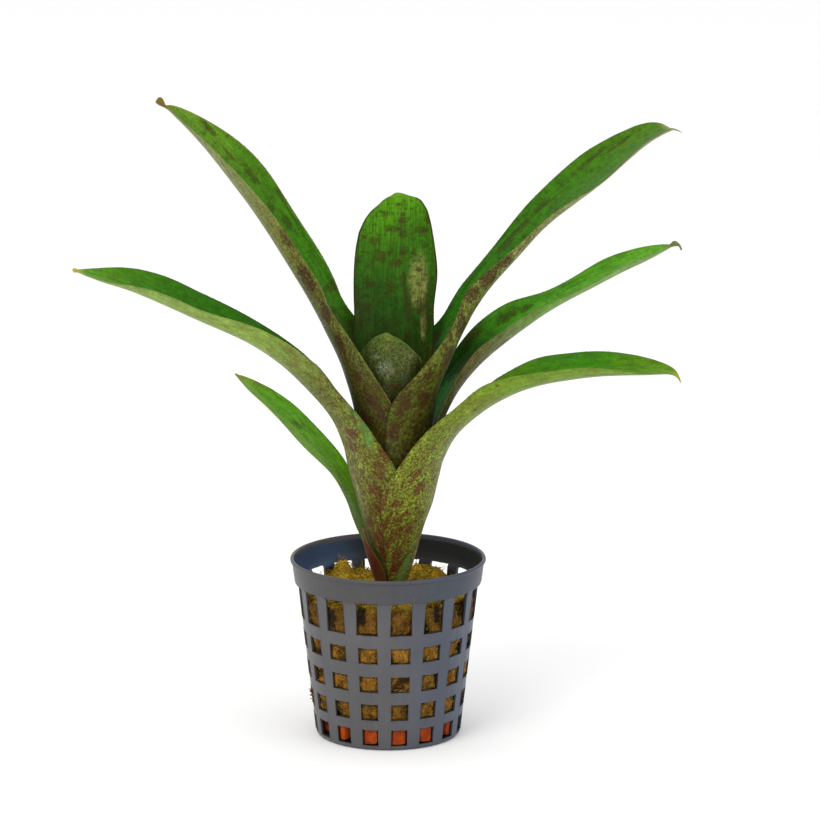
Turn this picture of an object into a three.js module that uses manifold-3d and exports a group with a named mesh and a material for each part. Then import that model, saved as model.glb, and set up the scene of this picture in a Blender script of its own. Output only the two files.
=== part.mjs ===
// A young neoregelia bromeliad in a slotted net pot filled with moss.
// Millimetres, +Z up, the origin at the middle of the pot's underside, -Y is the front.

import * as THREE from 'three';
import { mergeVertices } from 'three/addons/utils/BufferGeometryUtils.js';
import Module from 'manifold-3d';

const wasm = await Module();
wasm.setup();

// ---- Driving dimensions ---------------------------------------------------------------

// Net pot
const POT_HEIGHT = 51.2;
const LIP_RADIUS = 27.7;
const LIP_HEIGHT = 1.2;
const LIP_ROUNDING = 0.35;
const COLLAR_TOP_RADIUS = 27.2;
const COLLAR_FOOT_RADIUS = 26.5;
const COLLAR_FOOT_Z = 44.4;
const BODY_TOP_RADIUS = 25.45;
const BODY_TOP_Z = 43.5;
const BASE_RADIUS = 20.6;
const BASE_ROUNDING = 1.2;
const WALL = 0.7;
const FLOOR = 1.3;
const POT_SEGMENTS = 48;
const BASE_SLOTS = { count: 8, width: 2.4, length: 8.5, middle: 11.5 };
const HOLE_COLUMNS = 16;
const HOLE_TURN_DEG = 8.8;
const HOLE_ROWS = [
  { foot: 34.4, head: 44.1, width: 6.1 },
  { foot: 26, head: 30.7, width: 5.5 },
  { foot: 17.4, head: 22.2, width: 5.25 },
  { foot: 9, head: 13.9, width: 4.85 },
  { foot: 1.4, head: 6.2, width: 4.5 },
];

// What fills the pot
const CLEARANCE = 0.35;
const CLAY_TOP_Z = 7.2;
const CLAY_PEBBLES = 13;
const PEBBLE_RADIUS = 4.3;
const PEBBLE_SPREAD = 0.2;
const MOSS_FOOT_Z = 7.8;
const MOSS_TOP_Z = 41.1;
const MOSS_CROWN = 1.4;
const MOSS_SEGMENTS = 40;
const FILLING_SEGMENTS = 20;

// Plant
const PLANT_X = 1.3;
const PLANT_Z = 0.75;
const STEM_RADIUS = 4.3;
const STEM_FOOT_Z = 22;
const STEM_NECK_Z = 36.5;
const STEM_TOP_Z = 64.5;
const SEAT_RADIUS = 3.2;
const SEAT_GAP = 0.3;
const LEAF_THICKNESS = 0.65;
const FIRST_SEAT_Z = 38;
const SEAT_STEP_Z = 3.55;
const LAYER_PITCH = 1.1;
const FUNNEL_FOOT_Z = 39;
const FUNNEL_FOOT_RADIUS = 3.5;
const FUNNEL_SLOPE = 0.273;
const FUNNEL_BELLY = 0.5;
const FUNNEL_HEIGHT = 37;
const LEAF_COLUMNS = 8;
const TOOTH_HEIGHT = 0.55;

// Leaves, innermost layer last. Angles are in degrees; azimuth goes anticlockwise from +X.
// sweep: turn of the azimuth from seat to tip. wrap: half of the angle that the sheath clasps.
// neck: heights between which the sheath narrows into the blade. lift: heights between which the section
// leaves the ring round the axis. funnelTop: height up to which the midrib follows the funnel.
// path: [distance from the plant's axis, height] of the midrib above the funnel, up to the tip.
// taper: length of the narrowing tip. tip: how blunt it is, less being blunter.
// width, fold and roll are read at equal steps from BLADE_START to the tip: the flattened width, half
// of the angle that the section turns through, and the turn about the midrib towards the front.
// left and right, seen from outside the plant with the tip up, are read the same way: how much of half
// the width each side has.
const BLADE_START = 0.3;
const LEAVES = [
  {
    node: 'leaf_c_lower_left', layer: 0, azimuth: 152, sweep: 0, rows: 18, wrap: 25,
    neck: [44, 68], lift: [56, 74], funnelTop: 54,
    path: [[11.1, 60.5], [14.2, 66.8], [19.9, 74.6], [31.7, 84.5], [44.4, 93.6], [51, 98.1]],
    width: [7, 13, 14, 12], taper: 30, tip: 0.8, fold: [42, 38, 28, 20], roll: [0, 0],
    left: [0.85, 0.84, 0.9, 1.04, 1.27, 1.6], right: [1.1, 0.95, 0.82, 0.88, 1.2, 1.6],
  },
  {
    node: 'leaf_h_lower_right', layer: 1, azimuth: -10, sweep: 0, rows: 25, wrap: 97,
    neck: [66, 95], lift: [78, 98], funnelTop: 60,
    path: [[10.9, 66.3], [12.65, 73.5], [14.4, 79.9], [19.1, 88], [29.4, 96.8], [43, 102.5], [60.5, 105.7],
      [77, 106.8], [81.3, 104.6]],
    width: [20, 20.5, 20.5, 20], taper: 30, tip: 0.9, fold: [74, 80, 58, 25], roll: [0, 4, 6, 10],
    left: [1, 1.1, 1.1, 1.05, 1, 1, 1, 1, 1], right: [1.2, 1, 0.74, 0.82, 0.96, 0.94, 1, 1.12, 1.2],
  },
  {
    node: 'leaf_b_middle_left', layer: 2, azimuth: 188, sweep: 0, rows: 25, wrap: 105,
    neck: [62, 99], lift: [82, 104], funnelTop: 62,
    path: [[12, 76], [13.7, 83.5], [17.4, 92], [25, 101.3], [37.2, 112.1], [57, 122.3],
      [73, 129.8], [89, 135.5]],
    width: [19, 18.5, 20, 19], taper: 30, tip: 0.9, fold: [76, 72, 60, 30], roll: [0, 4, 8, 14],
    left: [0.75, 1, 0.92, 0.96, 1.03, 1], right: [1.24, 1.24, 1.1, 0.98, 1, 1],
  },
  {
    node: 'leaf_g_middle_right', layer: 3, azimuth: 22, sweep: 0, rows: 24, wrap: 80,
    neck: [62, 96], lift: [84, 106], funnelTop: 64,
    path: [[10.6, 76], [14.3, 90.5], [24.5, 103.4], [43.2, 116.2], [60.3, 124], [77, 130.2],
      [87.5, 134.4]],
    width: [22, 17.5, 13, 24], taper: 32, tip: 0.9, fold: [64, 62, 54, 40], roll: [0, 0],
    left: [1, 1.2, 1.25, 1.15, 1, 1, 1, 1, 1],
    right: [0.85, 0.92, 0.94, 1.16, 1.22, 0.96, 0.95, 1.07, 1.18, 1.25],
  },
  {
    node: 'leaf_f_upper_right', layer: 4, azimuth: 20, sweep: 0, rows: 25, wrap: 120,
    neck: [84, 117], lift: [102, 124], funnelTop: 66,
    path: [[9.4, 76], [11.55, 93], [14.05, 102.2], [20.9, 115.7], [31.7, 129.4], [45.7, 143],
      [62, 155.1], [77.5, 165.6], [87, 168.6]],
    width: [25, 14, 23.5, 25], taper: 27, tip: 0.6, fold: [72, 76, 46, 32], roll: [0, -7, -1, 0],
    left: [1.35, 1.4, 1.1, 0.8, 0.7, 0.82, 0.95], right: [1, 0.95, 1.12, 1.08, 1.03, 1.04, 1, 1.15],
  },
  {
    node: 'leaf_a_upper_left', layer: 5, azimuth: 163, sweep: 0, rows: 25, wrap: 118,
    neck: [84, 122], lift: [102, 126], funnelTop: 66,
    path: [[8.1, 76], [9.9, 91], [12.4, 101.3], [16, 110.1], [25.4, 126.1], [36.1, 142],
      [49.3, 159.5], [63.4, 173.5], [69.5, 177]],
    width: [25, 20, 23, 20], taper: 36, tip: 0.7, fold: [68, 78, 80, 45], roll: [0, 0],
    left: [0.8, 0.83, 1.04, 1, 0.98, 1.05, 1.1], right: [1.1, 1.2, 1.12, 0.95, 0.76, 0.62, 0.6],
  },
  {
    node: 'leaf_d_centre_back', layer: 6, azimuth: 86, sweep: 0, rows: 24, wrap: 72,
    neck: [98, 120], lift: [100, 122], funnelTop: 66,
    path: [[7, 76], [9, 94], [11, 110], [14, 126], [18, 141], [21.5, 151]],
    width: [24.5, 24.5, 24.5], taper: 24, tip: 0.4, fold: [42, 36, 30], roll: [0, 0],
    left: [1, 1, 1, 1, 1, 1, 0.98, 1.05, 1.2], right: [1, 1, 1, 1, 1, 1, 1, 1, 0.7],
  },
  {
    node: 'leaf_e_centre_young', layer: 7, azimuth: 250, sweep: 0, rows: 14, wrap: 80,
    neck: [84, 106], lift: [96, 110], funnelTop: 68,
    path: [[6, 78], [8, 92], [8.9, 103], [7.8, 111], [5, 116]],
    width: [24, 25], taper: 10, tip: 0.45, fold: [74, 66], roll: [0, 0],
    left: [1, 1, 1, 1.15], right: [1, 1, 1, 1],
  },
];

// The short dark scale leaf that clasps the foot of the plant
const BRACT = {
  node: 'basal_bract', layer: 0, azimuth: 219, sweep: -18, rows: 9, wrap: 29,
  neck: [44, 58], lift: [56, 62], funnelTop: 54,
  path: [[8.9, 59.5]],
  width: [7, 7], taper: 19, tip: 1.05, fold: [40, 40], roll: [0, 0],
};

// ---- Colours --------------------------------------------------------------------------

const COLOURS = {
  pot: { color: 0x5b6069, roughness: 0.45, metalness: 0 },
  moss: { color: 0x9a7427, roughness: 0.95, metalness: 0 },
  clay: { color: 0xc4541c, roughness: 0.9, metalness: 0 },
  stem: { color: 0x6a5b36, roughness: 0.85, metalness: 0 },
  leaf: { color: 0x4f8626, roughness: 0.5, metalness: 0 },
  bract: { color: 0x4a261a, roughness: 0.6, metalness: 0 },
};

// ---- Helpers --------------------------------------------------------------------------

const radians = THREE.MathUtils.degToRad;
const lerp = THREE.MathUtils.lerp;
const smoothstep = THREE.MathUtils.smoothstep;

function toSolid(geometry) {
  const bare = geometry.clone();
  bare.deleteAttribute('normal');
  bare.deleteAttribute('uv');
  const merged = mergeVertices(bare, 1e-4);
  return new wasm.Manifold(new wasm.Mesh({
    numProp: 3,
    vertProperties: Float32Array.from(merged.attributes.position.array),
    triVerts: Uint32Array.from(merged.index.array),
  }));
}

function toGeometry(solid) {
  const mesh = solid.getMesh();
  const geometry = new THREE.BufferGeometry();
  geometry.setAttribute('position', new THREE.BufferAttribute(mesh.vertProperties, 3));
  geometry.setIndex(new THREE.BufferAttribute(mesh.triVerts, 1));
  geometry.computeVertexNormals();
  return geometry;
}

// A solid of revolution about +Z from [radius, height] points
function revolve(points, segments) {
  const geometry = new THREE.LatheGeometry(points.map(([r, z]) => new THREE.Vector2(r, z)), segments);
  return geometry.rotateX(Math.PI / 2);
}

function named(name, geometry, finish) {
  const mesh = new THREE.Mesh(geometry, new THREE.MeshStandardMaterial(finish));
  mesh.name = name;
  return mesh;
}

// ---- Net pot --------------------------------------------------------------------------

const bodySlope = (BODY_TOP_RADIUS - BASE_RADIUS) / (BODY_TOP_Z - FLOOR);
const bodyRadius = (z) => BASE_RADIUS + (z - FLOOR) * bodySlope;

function potShell() {
  const lipFoot = POT_HEIGHT - LIP_HEIGHT;
  const outside = [
    [0, 0],
    [BASE_RADIUS - BASE_ROUNDING, 0],
    [BASE_RADIUS - BASE_ROUNDING / 3, BASE_ROUNDING / 3],
    [BASE_RADIUS, FLOOR],
    [BODY_TOP_RADIUS, BODY_TOP_Z],
    [COLLAR_FOOT_RADIUS, COLLAR_FOOT_Z],
    [COLLAR_TOP_RADIUS, lipFoot],
    [LIP_RADIUS, lipFoot + LIP_ROUNDING],
    [LIP_RADIUS, POT_HEIGHT - LIP_ROUNDING],
    [LIP_RADIUS - LIP_ROUNDING, POT_HEIGHT],
  ];
  const inside = [
    [COLLAR_TOP_RADIUS, POT_HEIGHT],
    [COLLAR_TOP_RADIUS - WALL, lipFoot - WALL],
    [COLLAR_FOOT_RADIUS - WALL, COLLAR_FOOT_Z + WALL],
    [BODY_TOP_RADIUS - WALL, BODY_TOP_Z],
    [BASE_RADIUS - WALL, FLOOR + BASE_ROUNDING],
    [BASE_RADIUS - WALL - BASE_ROUNDING, FLOOR],
    [0, FLOOR],
  ];
  return revolve([...outside, ...inside], POT_SEGMENTS);
}

// A cutter for one hole of the wall; it starts inside the wall and passes out through it
function wallHole(row, column) {
  const reach = 2 * LIP_RADIUS;
  const hole = new THREE.BoxGeometry(row.width, reach, row.head - row.foot);
  hole.translate(0, -reach / 2 - BASE_RADIUS * 0.8, (row.head + row.foot) / 2);
  return hole.rotateZ(radians(HOLE_TURN_DEG + column * 360 / HOLE_COLUMNS));
}

function baseSlot(index) {
  const slot = new THREE.BoxGeometry(BASE_SLOTS.width, BASE_SLOTS.length, 4 * FLOOR);
  slot.translate(0, -BASE_SLOTS.middle, 0);
  return slot.rotateZ(radians(HOLE_TURN_DEG + index * 360 / BASE_SLOTS.count));
}

function netPot() {
  let pot = toSolid(potShell());
  for (const row of HOLE_ROWS) {
    for (let column = 0; column < HOLE_COLUMNS; column += 1) {
      pot = pot.subtract(toSolid(wallHole(row, column)));
    }
  }
  for (let index = 0; index < BASE_SLOTS.count; index += 1) {
    pot = pot.subtract(toSolid(baseSlot(index)));
  }
  return named('net_pot', toGeometry(pot), COLOURS.pot);
}

// ---- Filling --------------------------------------------------------------------------

// A drainage layer: a low disc with a ring of clay pebbles sunk into its edge
function clayLayer() {
  const innerRadius = BASE_RADIUS - WALL - CLEARANCE;
  const foot = FLOOR + CLEARANCE;
  const height = CLAY_TOP_Z - foot;
  const middle = foot + height / 2;
  const discTop = CLAY_TOP_Z - 0.5;
  const discEdge = innerRadius - 1.6;
  const discBelly = innerRadius - 0.7;
  const profile = [[0, foot], [discEdge, foot], [discBelly, middle], [discEdge, discTop], [0, discTop]];
  let clay = toSolid(revolve(profile, FILLING_SEGMENTS));
  for (let index = 0; index < CLAY_PEBBLES; index += 1) {
    const turn = radians(HOLE_TURN_DEG + index * 360 / CLAY_PEBBLES - 90);
    const pebble = new THREE.IcosahedronGeometry(1, 1);
    const radius = PEBBLE_RADIUS + PEBBLE_SPREAD * Math.sin(5 * index);
    pebble.scale(radius, radius, height / 2);
    pebble.rotateZ(index);
    const out = innerRadius - radius;
    pebble.translate(out * Math.cos(turn), out * Math.sin(turn), middle);
    clay = clay.add(toSolid(pebble));
  }
  return named('clay_drainage', toGeometry(clay), COLOURS.clay);
}

// How far the moss top rises or sinks at a place: small waves all over and two clumps at the back
function mossLump(x, y) {
  const waves = 0.5 * Math.sin(0.55 * x + 1.3) * Math.cos(0.48 * y + 0.4)
    + 0.35 * Math.sin(0.9 * y - 0.6 * x + 2);
  const leftClump = 2.2 * Math.exp(-(((x + 12) / 5) ** 2) - ((y - 18) / 5) ** 2);
  const rightClump = 1.8 * Math.exp(-(((x - 11) / 7) ** 2) - ((y - 16) / 8) ** 2);
  return waves + leftClump + rightClump;
}

// How far the moss side sinks in at a place
function mossDent(x, y, z) {
  return 0.25 * (1 + Math.sin(1.1 * z + 0.7 * x) * Math.sin(0.8 * y - 0.5 * z));
}

function mossFill() {
  const side = (z) => bodyRadius(z) - WALL - CLEARANCE;
  const levels = [MOSS_FOOT_Z, 12, 17, 22, 27, 32, 37];
  const profile = [
    [0, MOSS_FOOT_Z],
    [side(MOSS_FOOT_Z) - 1, MOSS_FOOT_Z],
    ...levels.map((z) => [side(z), z + 0.4]),
    [side(MOSS_TOP_Z) - 1.4, MOSS_TOP_Z - 0.5],
    [18, MOSS_TOP_Z],
    [14, MOSS_TOP_Z + 0.2 * MOSS_CROWN],
    [10, MOSS_TOP_Z + 0.5 * MOSS_CROWN],
    [6, MOSS_TOP_Z + 0.85 * MOSS_CROWN],
    [0, MOSS_TOP_Z + MOSS_CROWN],
  ];
  const body = revolve(profile, MOSS_SEGMENTS);
  const place = body.attributes.position;
  for (let i = 0; i < place.count; i += 1) {
    const [x, y, z] = [place.getX(i), place.getY(i), place.getZ(i)];
    if (z > MOSS_TOP_Z - 1) {
      place.setZ(i, z + mossLump(x, y));
    } else if (Math.hypot(x, y) > 1) {
      const shrink = 1 - mossDent(x, y, z) / Math.hypot(x, y);
      place.setX(i, x * shrink);
      place.setY(i, y * shrink);
    }
  }
  const holeRadius = STEM_RADIUS + SEAT_GAP;
  const holeFoot = STEM_FOOT_Z - SEAT_GAP;
  const holeTop = MOSS_TOP_Z + 4;
  const holeProfile = [[0, holeFoot], [holeRadius, holeFoot], [holeRadius, STEM_NECK_Z],
    [holeRadius + 0.9, holeTop], [0, holeTop]];
  const hole = revolve(holeProfile, FILLING_SEGMENTS);
  hole.translate(PLANT_X, 0, PLANT_Z);
  return named('moss_fill', toGeometry(toSolid(body).subtract(toSolid(hole))), COLOURS.moss);
}

// ---- Plant ----------------------------------------------------------------------------

// Radius of the middle of a sheath's thickness, for a leaf of the given layer (0 is outermost)
function funnelRadius(z, layer) {
  const above = z - FUNNEL_FOOT_Z;
  const belly = FUNNEL_BELLY * Math.sin(Math.PI * above / FUNNEL_HEIGHT);
  return FUNNEL_FOOT_RADIUS + FUNNEL_SLOPE * above + belly - LAYER_PITCH * layer;
}

// A thick foot that stands in the moss, and a slender top that every leaf base clasps
function stem() {
  const top = SEAT_RADIUS - LEAF_THICKNESS / 2 - SEAT_GAP - 0.2;
  const profile = [
    [0, STEM_FOOT_Z],
    [STEM_RADIUS - 1.2, STEM_FOOT_Z],
    [STEM_RADIUS - 0.3, STEM_FOOT_Z + 2],
    [STEM_RADIUS, STEM_NECK_Z - 3],
    [STEM_RADIUS, STEM_NECK_Z - 1],
    [top, STEM_NECK_Z],
    [top, STEM_TOP_Z - 12],
    [top - 0.4, STEM_TOP_Z - 1.5],
    [0, STEM_TOP_Z],
  ];
  const post = revolve(profile, FILLING_SEGMENTS);
  post.translate(PLANT_X, 0, PLANT_Z);
  return named('stem', toGeometry(toSolid(post)), COLOURS.stem);
}

// The midrib as a smooth curve in the plane (distance from the axis, height)
function midribCurve(leaf) {
  const seatZ = FIRST_SEAT_Z + SEAT_STEP_Z * leaf.layer;
  const points = [];
  const steps = 3;
  for (let i = 0; i <= steps; i += 1) {
    const z = lerp(seatZ, leaf.funnelTop, i / steps);
    points.push(new THREE.Vector2(funnelRadius(z, leaf.layer), z));
  }
  for (const [out, up] of leaf.path) {
    points.push(new THREE.Vector2(out, up));
  }
  return new THREE.SplineCurve(points);
}

// A smooth reading of equally spaced values, at t from 0 to 1
function reader(values) {
  const curve = new THREE.SplineCurve(values.map((value, i) => new THREE.Vector2(i, value)));
  return (t) => curve.getPoint(Math.min(1, Math.max(0, t))).y;
}

// The middle surface of a leaf at `along` (0 seat, 1 tip) and `across` (-1 to 1)
function leafSheet(leaf) {
  const curve = midribCurve(leaf);
  const length = curve.getLength();
  const up = new THREE.Vector3(0, 0, 1);
  const [widthAt, foldAt, rollAt] = [leaf.width, leaf.fold, leaf.roll].map(reader);
  const [leftAt, rightAt] = [leaf.left ?? [1, 1], leaf.right ?? [1, 1]].map(reader);
  return (along, across) => {
    const rib = curve.getPointAt(along);
    const heading = curve.getTangentAt(along);
    const azimuth = radians(leaf.azimuth + leaf.sweep * along);
    const out = new THREE.Vector3(Math.cos(azimuth), Math.sin(azimuth), 0);
    const side = new THREE.Vector3(-out.y, out.x, 0);
    const narrowing = smoothstep(rib.y, leaf.neck[0], leaf.neck[1]);
    const bladeness = smoothstep(rib.y, leaf.lift[0], leaf.lift[1]);
    const bladePlace = (along - BLADE_START) / (1 - BLADE_START);
    const toTip = length * (1 - along);
    const sheathWidth = 2 * rib.x * radians(leaf.wrap);
    const tipShape = Math.sin(Math.PI / 2 * Math.min(1, toTip / leaf.taper)) ** leaf.tip;
    const bladeWidth = widthAt(bladePlace) * lerp(0.06, 1, tipShape);
    const width = lerp(sheathWidth, bladeWidth, narrowing);
    const bladeFold = radians(foldAt(bladePlace));
    const bend = lerp(rib.x, bladeWidth / (2 * bladeFold), bladeness);
    const share = lerp(1, (across < 0 ? leftAt : rightAt)(bladePlace), narrowing);
    const turn = across * share * width / (2 * bend);
    const inward = out.clone().multiplyScalar(-lerp(1, heading.y, bladeness));
    inward.addScaledVector(up, lerp(0, heading.x, bladeness)).normalize();
    const tangent = out.clone().multiplyScalar(heading.x).addScaledVector(up, heading.y);
    const roll = radians(rollAt(bladePlace)) * bladeness * Math.sign(out.x);
    const lateral = side.clone().applyAxisAngle(tangent, roll);
    inward.applyAxisAngle(tangent, roll);
    return out.clone().multiplyScalar(rib.x).addScaledVector(up, rib.y)
      .addScaledVector(inward, bend * (1 - Math.cos(turn)))
      .addScaledVector(lateral, bend * Math.sin(turn))
      .add(new THREE.Vector3(PLANT_X, 0, PLANT_Z));
  };
}

// A leaf's closed solid: an inner and an outer face, a toothed rim along both margins
function leafSolid(leaf) {
  const sheet = leafSheet(leaf);
  const rows = leaf.rows;
  const columns = LEAF_COLUMNS;
  const step = 1e-3;
  const faces = [[], []];
  for (let row = 0; row <= rows; row += 1) {
    const along = row / rows;
    for (let column = 0; column <= columns; column += 1) {
      const across = 2 * column / columns - 1;
      const middle = sheet(along, across);
      const low = sheet(Math.max(0, along - step), across);
      const lengthwise = sheet(Math.min(1, along + step), across).sub(low);
      const crosswise = sheet(along, across + step).sub(sheet(along, across - step));
      const normal = lengthwise.cross(crosswise).normalize();
      faces[0].push(middle.clone().addScaledVector(normal, LEAF_THICKNESS / 2));
      faces[1].push(middle.clone().addScaledVector(normal, -LEAF_THICKNESS / 2));
    }
  }
  const points = [...faces[0], ...faces[1]];
  const offset = faces[0].length;
  const at = (face, row, column) => face * offset + row * (columns + 1) + column;
  const index = [];
  for (let row = 0; row < rows; row += 1) {
    for (let column = 0; column < columns; column += 1) {
      for (const face of [0, 1]) {
        const [a, b] = [at(face, row, column), at(face, row, column + 1)];
        const [c, d] = [at(face, row + 1, column + 1), at(face, row + 1, column)];
        index.push(...(face === 0 ? [a, c, b, a, d, c] : [a, b, c, a, c, d]));
      }
    }
  }
  for (let row = 0; row < rows; row += 1) {
    for (const column of [0, columns]) {
      const ring = [at(0, row, column), at(0, row + 1, column), at(1, row + 1, column), at(1, row, column)];
      if (column === 0) {
        ring.reverse();
      }
      rimTooth(points, index, ring, column === 0 ? column + 1 : column - 1, at, row);
    }
  }
  for (let column = 0; column < columns; column += 1) {
    const seat = [at(0, 0, column), at(0, 0, column + 1), at(1, 0, column + 1), at(1, 0, column)];
    index.push(seat[0], seat[1], seat[2], seat[0], seat[2], seat[3]);
    const tip = [at(0, rows, column), at(1, rows, column), at(1, rows, column + 1), at(0, rows, column + 1)];
    index.push(tip[0], tip[1], tip[2], tip[0], tip[2], tip[3]);
  }
  const geometry = new THREE.BufferGeometry();
  geometry.setAttribute('position', new THREE.Float32BufferAttribute(points.flatMap((p) => p.toArray()), 3));
  geometry.setIndex(index);
  geometry.computeVertexNormals();
  return geometry;
}

// Closes one step of a margin with a low four-sided tooth that points out and towards the tip
function rimTooth(points, index, ring, innerColumn, at, row) {
  const middle = new THREE.Vector3();
  for (const corner of ring) {
    middle.addScaledVector(points[corner], 0.25);
  }
  const inner = points[at(0, row, innerColumn)].clone();
  inner.add(points[at(1, row, innerColumn)]).multiplyScalar(0.5);
  const outward = middle.clone().sub(inner).normalize();
  points.push(middle.addScaledVector(outward, TOOTH_HEIGHT));
  const peak = points.length - 1;
  for (let i = 0; i < 4; i += 1) {
    index.push(ring[i], ring[(i + 1) % 4], peak);
  }
}

// ---- The whole plant in its pot -------------------------------------------------------

const plant = new THREE.Group();
plant.add(netPot());
plant.add(clayLayer());
plant.add(mossFill());
plant.add(stem());
for (const leaf of LEAVES) {
  plant.add(named(leaf.node, leafSolid(leaf), COLOURS.leaf));
}
plant.add(named(BRACT.node, leafSolid(BRACT), COLOURS.bract));

export default plant;
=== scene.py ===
"""Looks of a young neoregelia bromeliad in a slotted net pot. Blender 4.5, metres, in the CAD's frame."""

import math
import random

import bmesh
import bpy
import numpy as np
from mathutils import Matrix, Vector, noise


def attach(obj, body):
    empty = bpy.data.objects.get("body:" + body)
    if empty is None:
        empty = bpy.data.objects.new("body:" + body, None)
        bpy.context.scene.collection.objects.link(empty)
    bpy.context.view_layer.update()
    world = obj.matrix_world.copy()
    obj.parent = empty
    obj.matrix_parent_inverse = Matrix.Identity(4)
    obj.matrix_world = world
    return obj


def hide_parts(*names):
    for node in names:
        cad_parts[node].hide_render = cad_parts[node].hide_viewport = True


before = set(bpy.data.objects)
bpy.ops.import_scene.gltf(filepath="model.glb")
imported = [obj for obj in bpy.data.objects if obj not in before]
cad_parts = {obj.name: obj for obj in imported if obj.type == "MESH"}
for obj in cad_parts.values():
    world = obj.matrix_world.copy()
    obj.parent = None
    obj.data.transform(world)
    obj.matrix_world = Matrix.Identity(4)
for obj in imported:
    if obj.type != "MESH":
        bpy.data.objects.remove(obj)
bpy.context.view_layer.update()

# ---- Driving dimensions, millimetres as in the CAD source --------------------------------

MM = 0.001
POT_HEIGHT = 51.2
LIP_RADIUS = 27.7
LIP_HEIGHT = 1.2
COLLAR_TOP_RADIUS = 27.2
COLLAR_FOOT_RADIUS = 26.5
COLLAR_FOOT_Z = 44.4
BODY_TOP_RADIUS = 25.45
BODY_TOP_Z = 43.5
BASE_RADIUS = 20.6
BASE_ROUNDING = 1.3
EDGE_ROUNDING = 0.16
WALL = 0.7
FLOOR = 1.3
HOLE_COLUMNS = 16
HOLE_TURN_DEG = 8.8
HOLE_ROWS = [(34.4, 44.1, 6.1), (26, 30.7, 5.5), (17.4, 22.2, 5.25), (9, 13.9, 4.85), (1.4, 6.2, 4.5)]
SLOT_WIDTH, SLOT_IN, SLOT_OUT = 2.4, 7.25, 15.75
CLEARANCE = 0.35
CLAY_TOP_Z = 7.2
CLAY_PEBBLES, CLAY_INNER_RING = 13, 7
MOSS_FOOT_Z = 7.8
MOSS_TOP_Z = 41.1
PLANT_X = 1.3
PLANT_Z = 0.75
STEM_RADIUS = 4.3
LEAF_THICKNESS = 0.65
FIRST_SEAT_Z = 38
SEAT_STEP_Z = 3.55
LAYER_PITCH = 1.1
FUNNEL_FOOT_Z = 39
FUNNEL_FOOT_RADIUS = 3.5
FUNNEL_SLOPE = 0.273
FUNNEL_BELLY = 0.5
FUNNEL_HEIGHT = 37
BLADE_START = 0.3


# ---- Small helpers -----------------------------------------------------------------------

def lerp(a, b, t):
    return a + (b - a) * t


def smoothstep(x, low, high):
    t = min(1.0, max(0.0, (x - low) / (high - low)))
    return t * t * (3 - 2 * t)


def linear(code):
    """An sRGB code such as "5f6268" as linear RGBA."""
    parts = [int(code[i:i + 2], 16) / 255 for i in (0, 2, 4)]
    return tuple(c / 12.92 if c <= 0.04045 else ((c + 0.055) / 1.055) ** 2.4 for c in parts) + (1.0,)


def fractal(x, y, z, scale, octaves=3):
    return noise.fractal(Vector((x * scale, y * scale, z * scale)), 1.0, 2.0, octaves)


def polar(radius, turn, z):
    return radius * math.cos(turn), radius * math.sin(turn), z


def tube(base, rings, size):
    """The quads between neighbouring rings of points."""
    quads = []
    for start in range(base, base + (rings - 1) * size, size):
        for k in range(size):
            a, b = start + k, start + (k + 1) % size
            quads.append((a, b, b + size, a + size))
    return quads


def add_object(name, data, location=(0, 0, 0), target=None):
    """Puts a mesh, a light or a camera in the scene, turned towards a point where one is given."""
    holder = bpy.data.objects.new(name, data)
    holder.location = location
    if target is not None:
        holder.rotation_euler = (Vector(target) - Vector(location)).to_track_quat("-Z", "Y").to_euler()
    bpy.context.scene.collection.objects.link(holder)
    return holder


def build(name, points, faces, attributes=None):
    """A mesh object from millimetre points; attributes maps a name to floats or 3-vectors on the points."""
    mesh = bpy.data.meshes.new(name)
    mesh.from_pydata([tuple(c * MM for c in p) for p in points], [], faces)
    for key, values in (attributes or {}).items():
        flat = np.array(values, dtype=np.float32)
        kind, field = ("FLOAT", "value") if flat.ndim == 1 else ("FLOAT_VECTOR", "vector")
        mesh.attributes.new(key, kind, "POINT").data.foreach_set(field, flat.ravel())
    mesh.polygons.foreach_set("use_smooth", [True] * len(mesh.polygons))
    mesh.update()
    return add_object(name, mesh)


def dress(piece, material, node=None):
    """Gives a piece its material, attaches it to the CAD body root and hides the CAD node it replaces."""
    piece.data.materials.clear()
    piece.data.materials.append(material)
    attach(piece, "root")
    if node:
        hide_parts(node)


# ---- Node materials ----------------------------------------------------------------------

class Value:
    """What a node puts out, ready for sums and products."""

    def __init__(self, surface, socket):
        self.surface, self.socket = surface, socket

    def __add__(self, other):
        return self.surface.math("ADD", self, other)

    def __sub__(self, other):
        return self.surface.math("SUBTRACT", self, other)

    def __mul__(self, other):
        return self.surface.math("MULTIPLY", self, other)

    def __truediv__(self, other):
        return self.surface.math("DIVIDE", self, other)

    def __abs__(self):
        return self.surface.math("ABSOLUTE", self)

    __radd__, __rmul__ = __add__, __mul__


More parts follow.
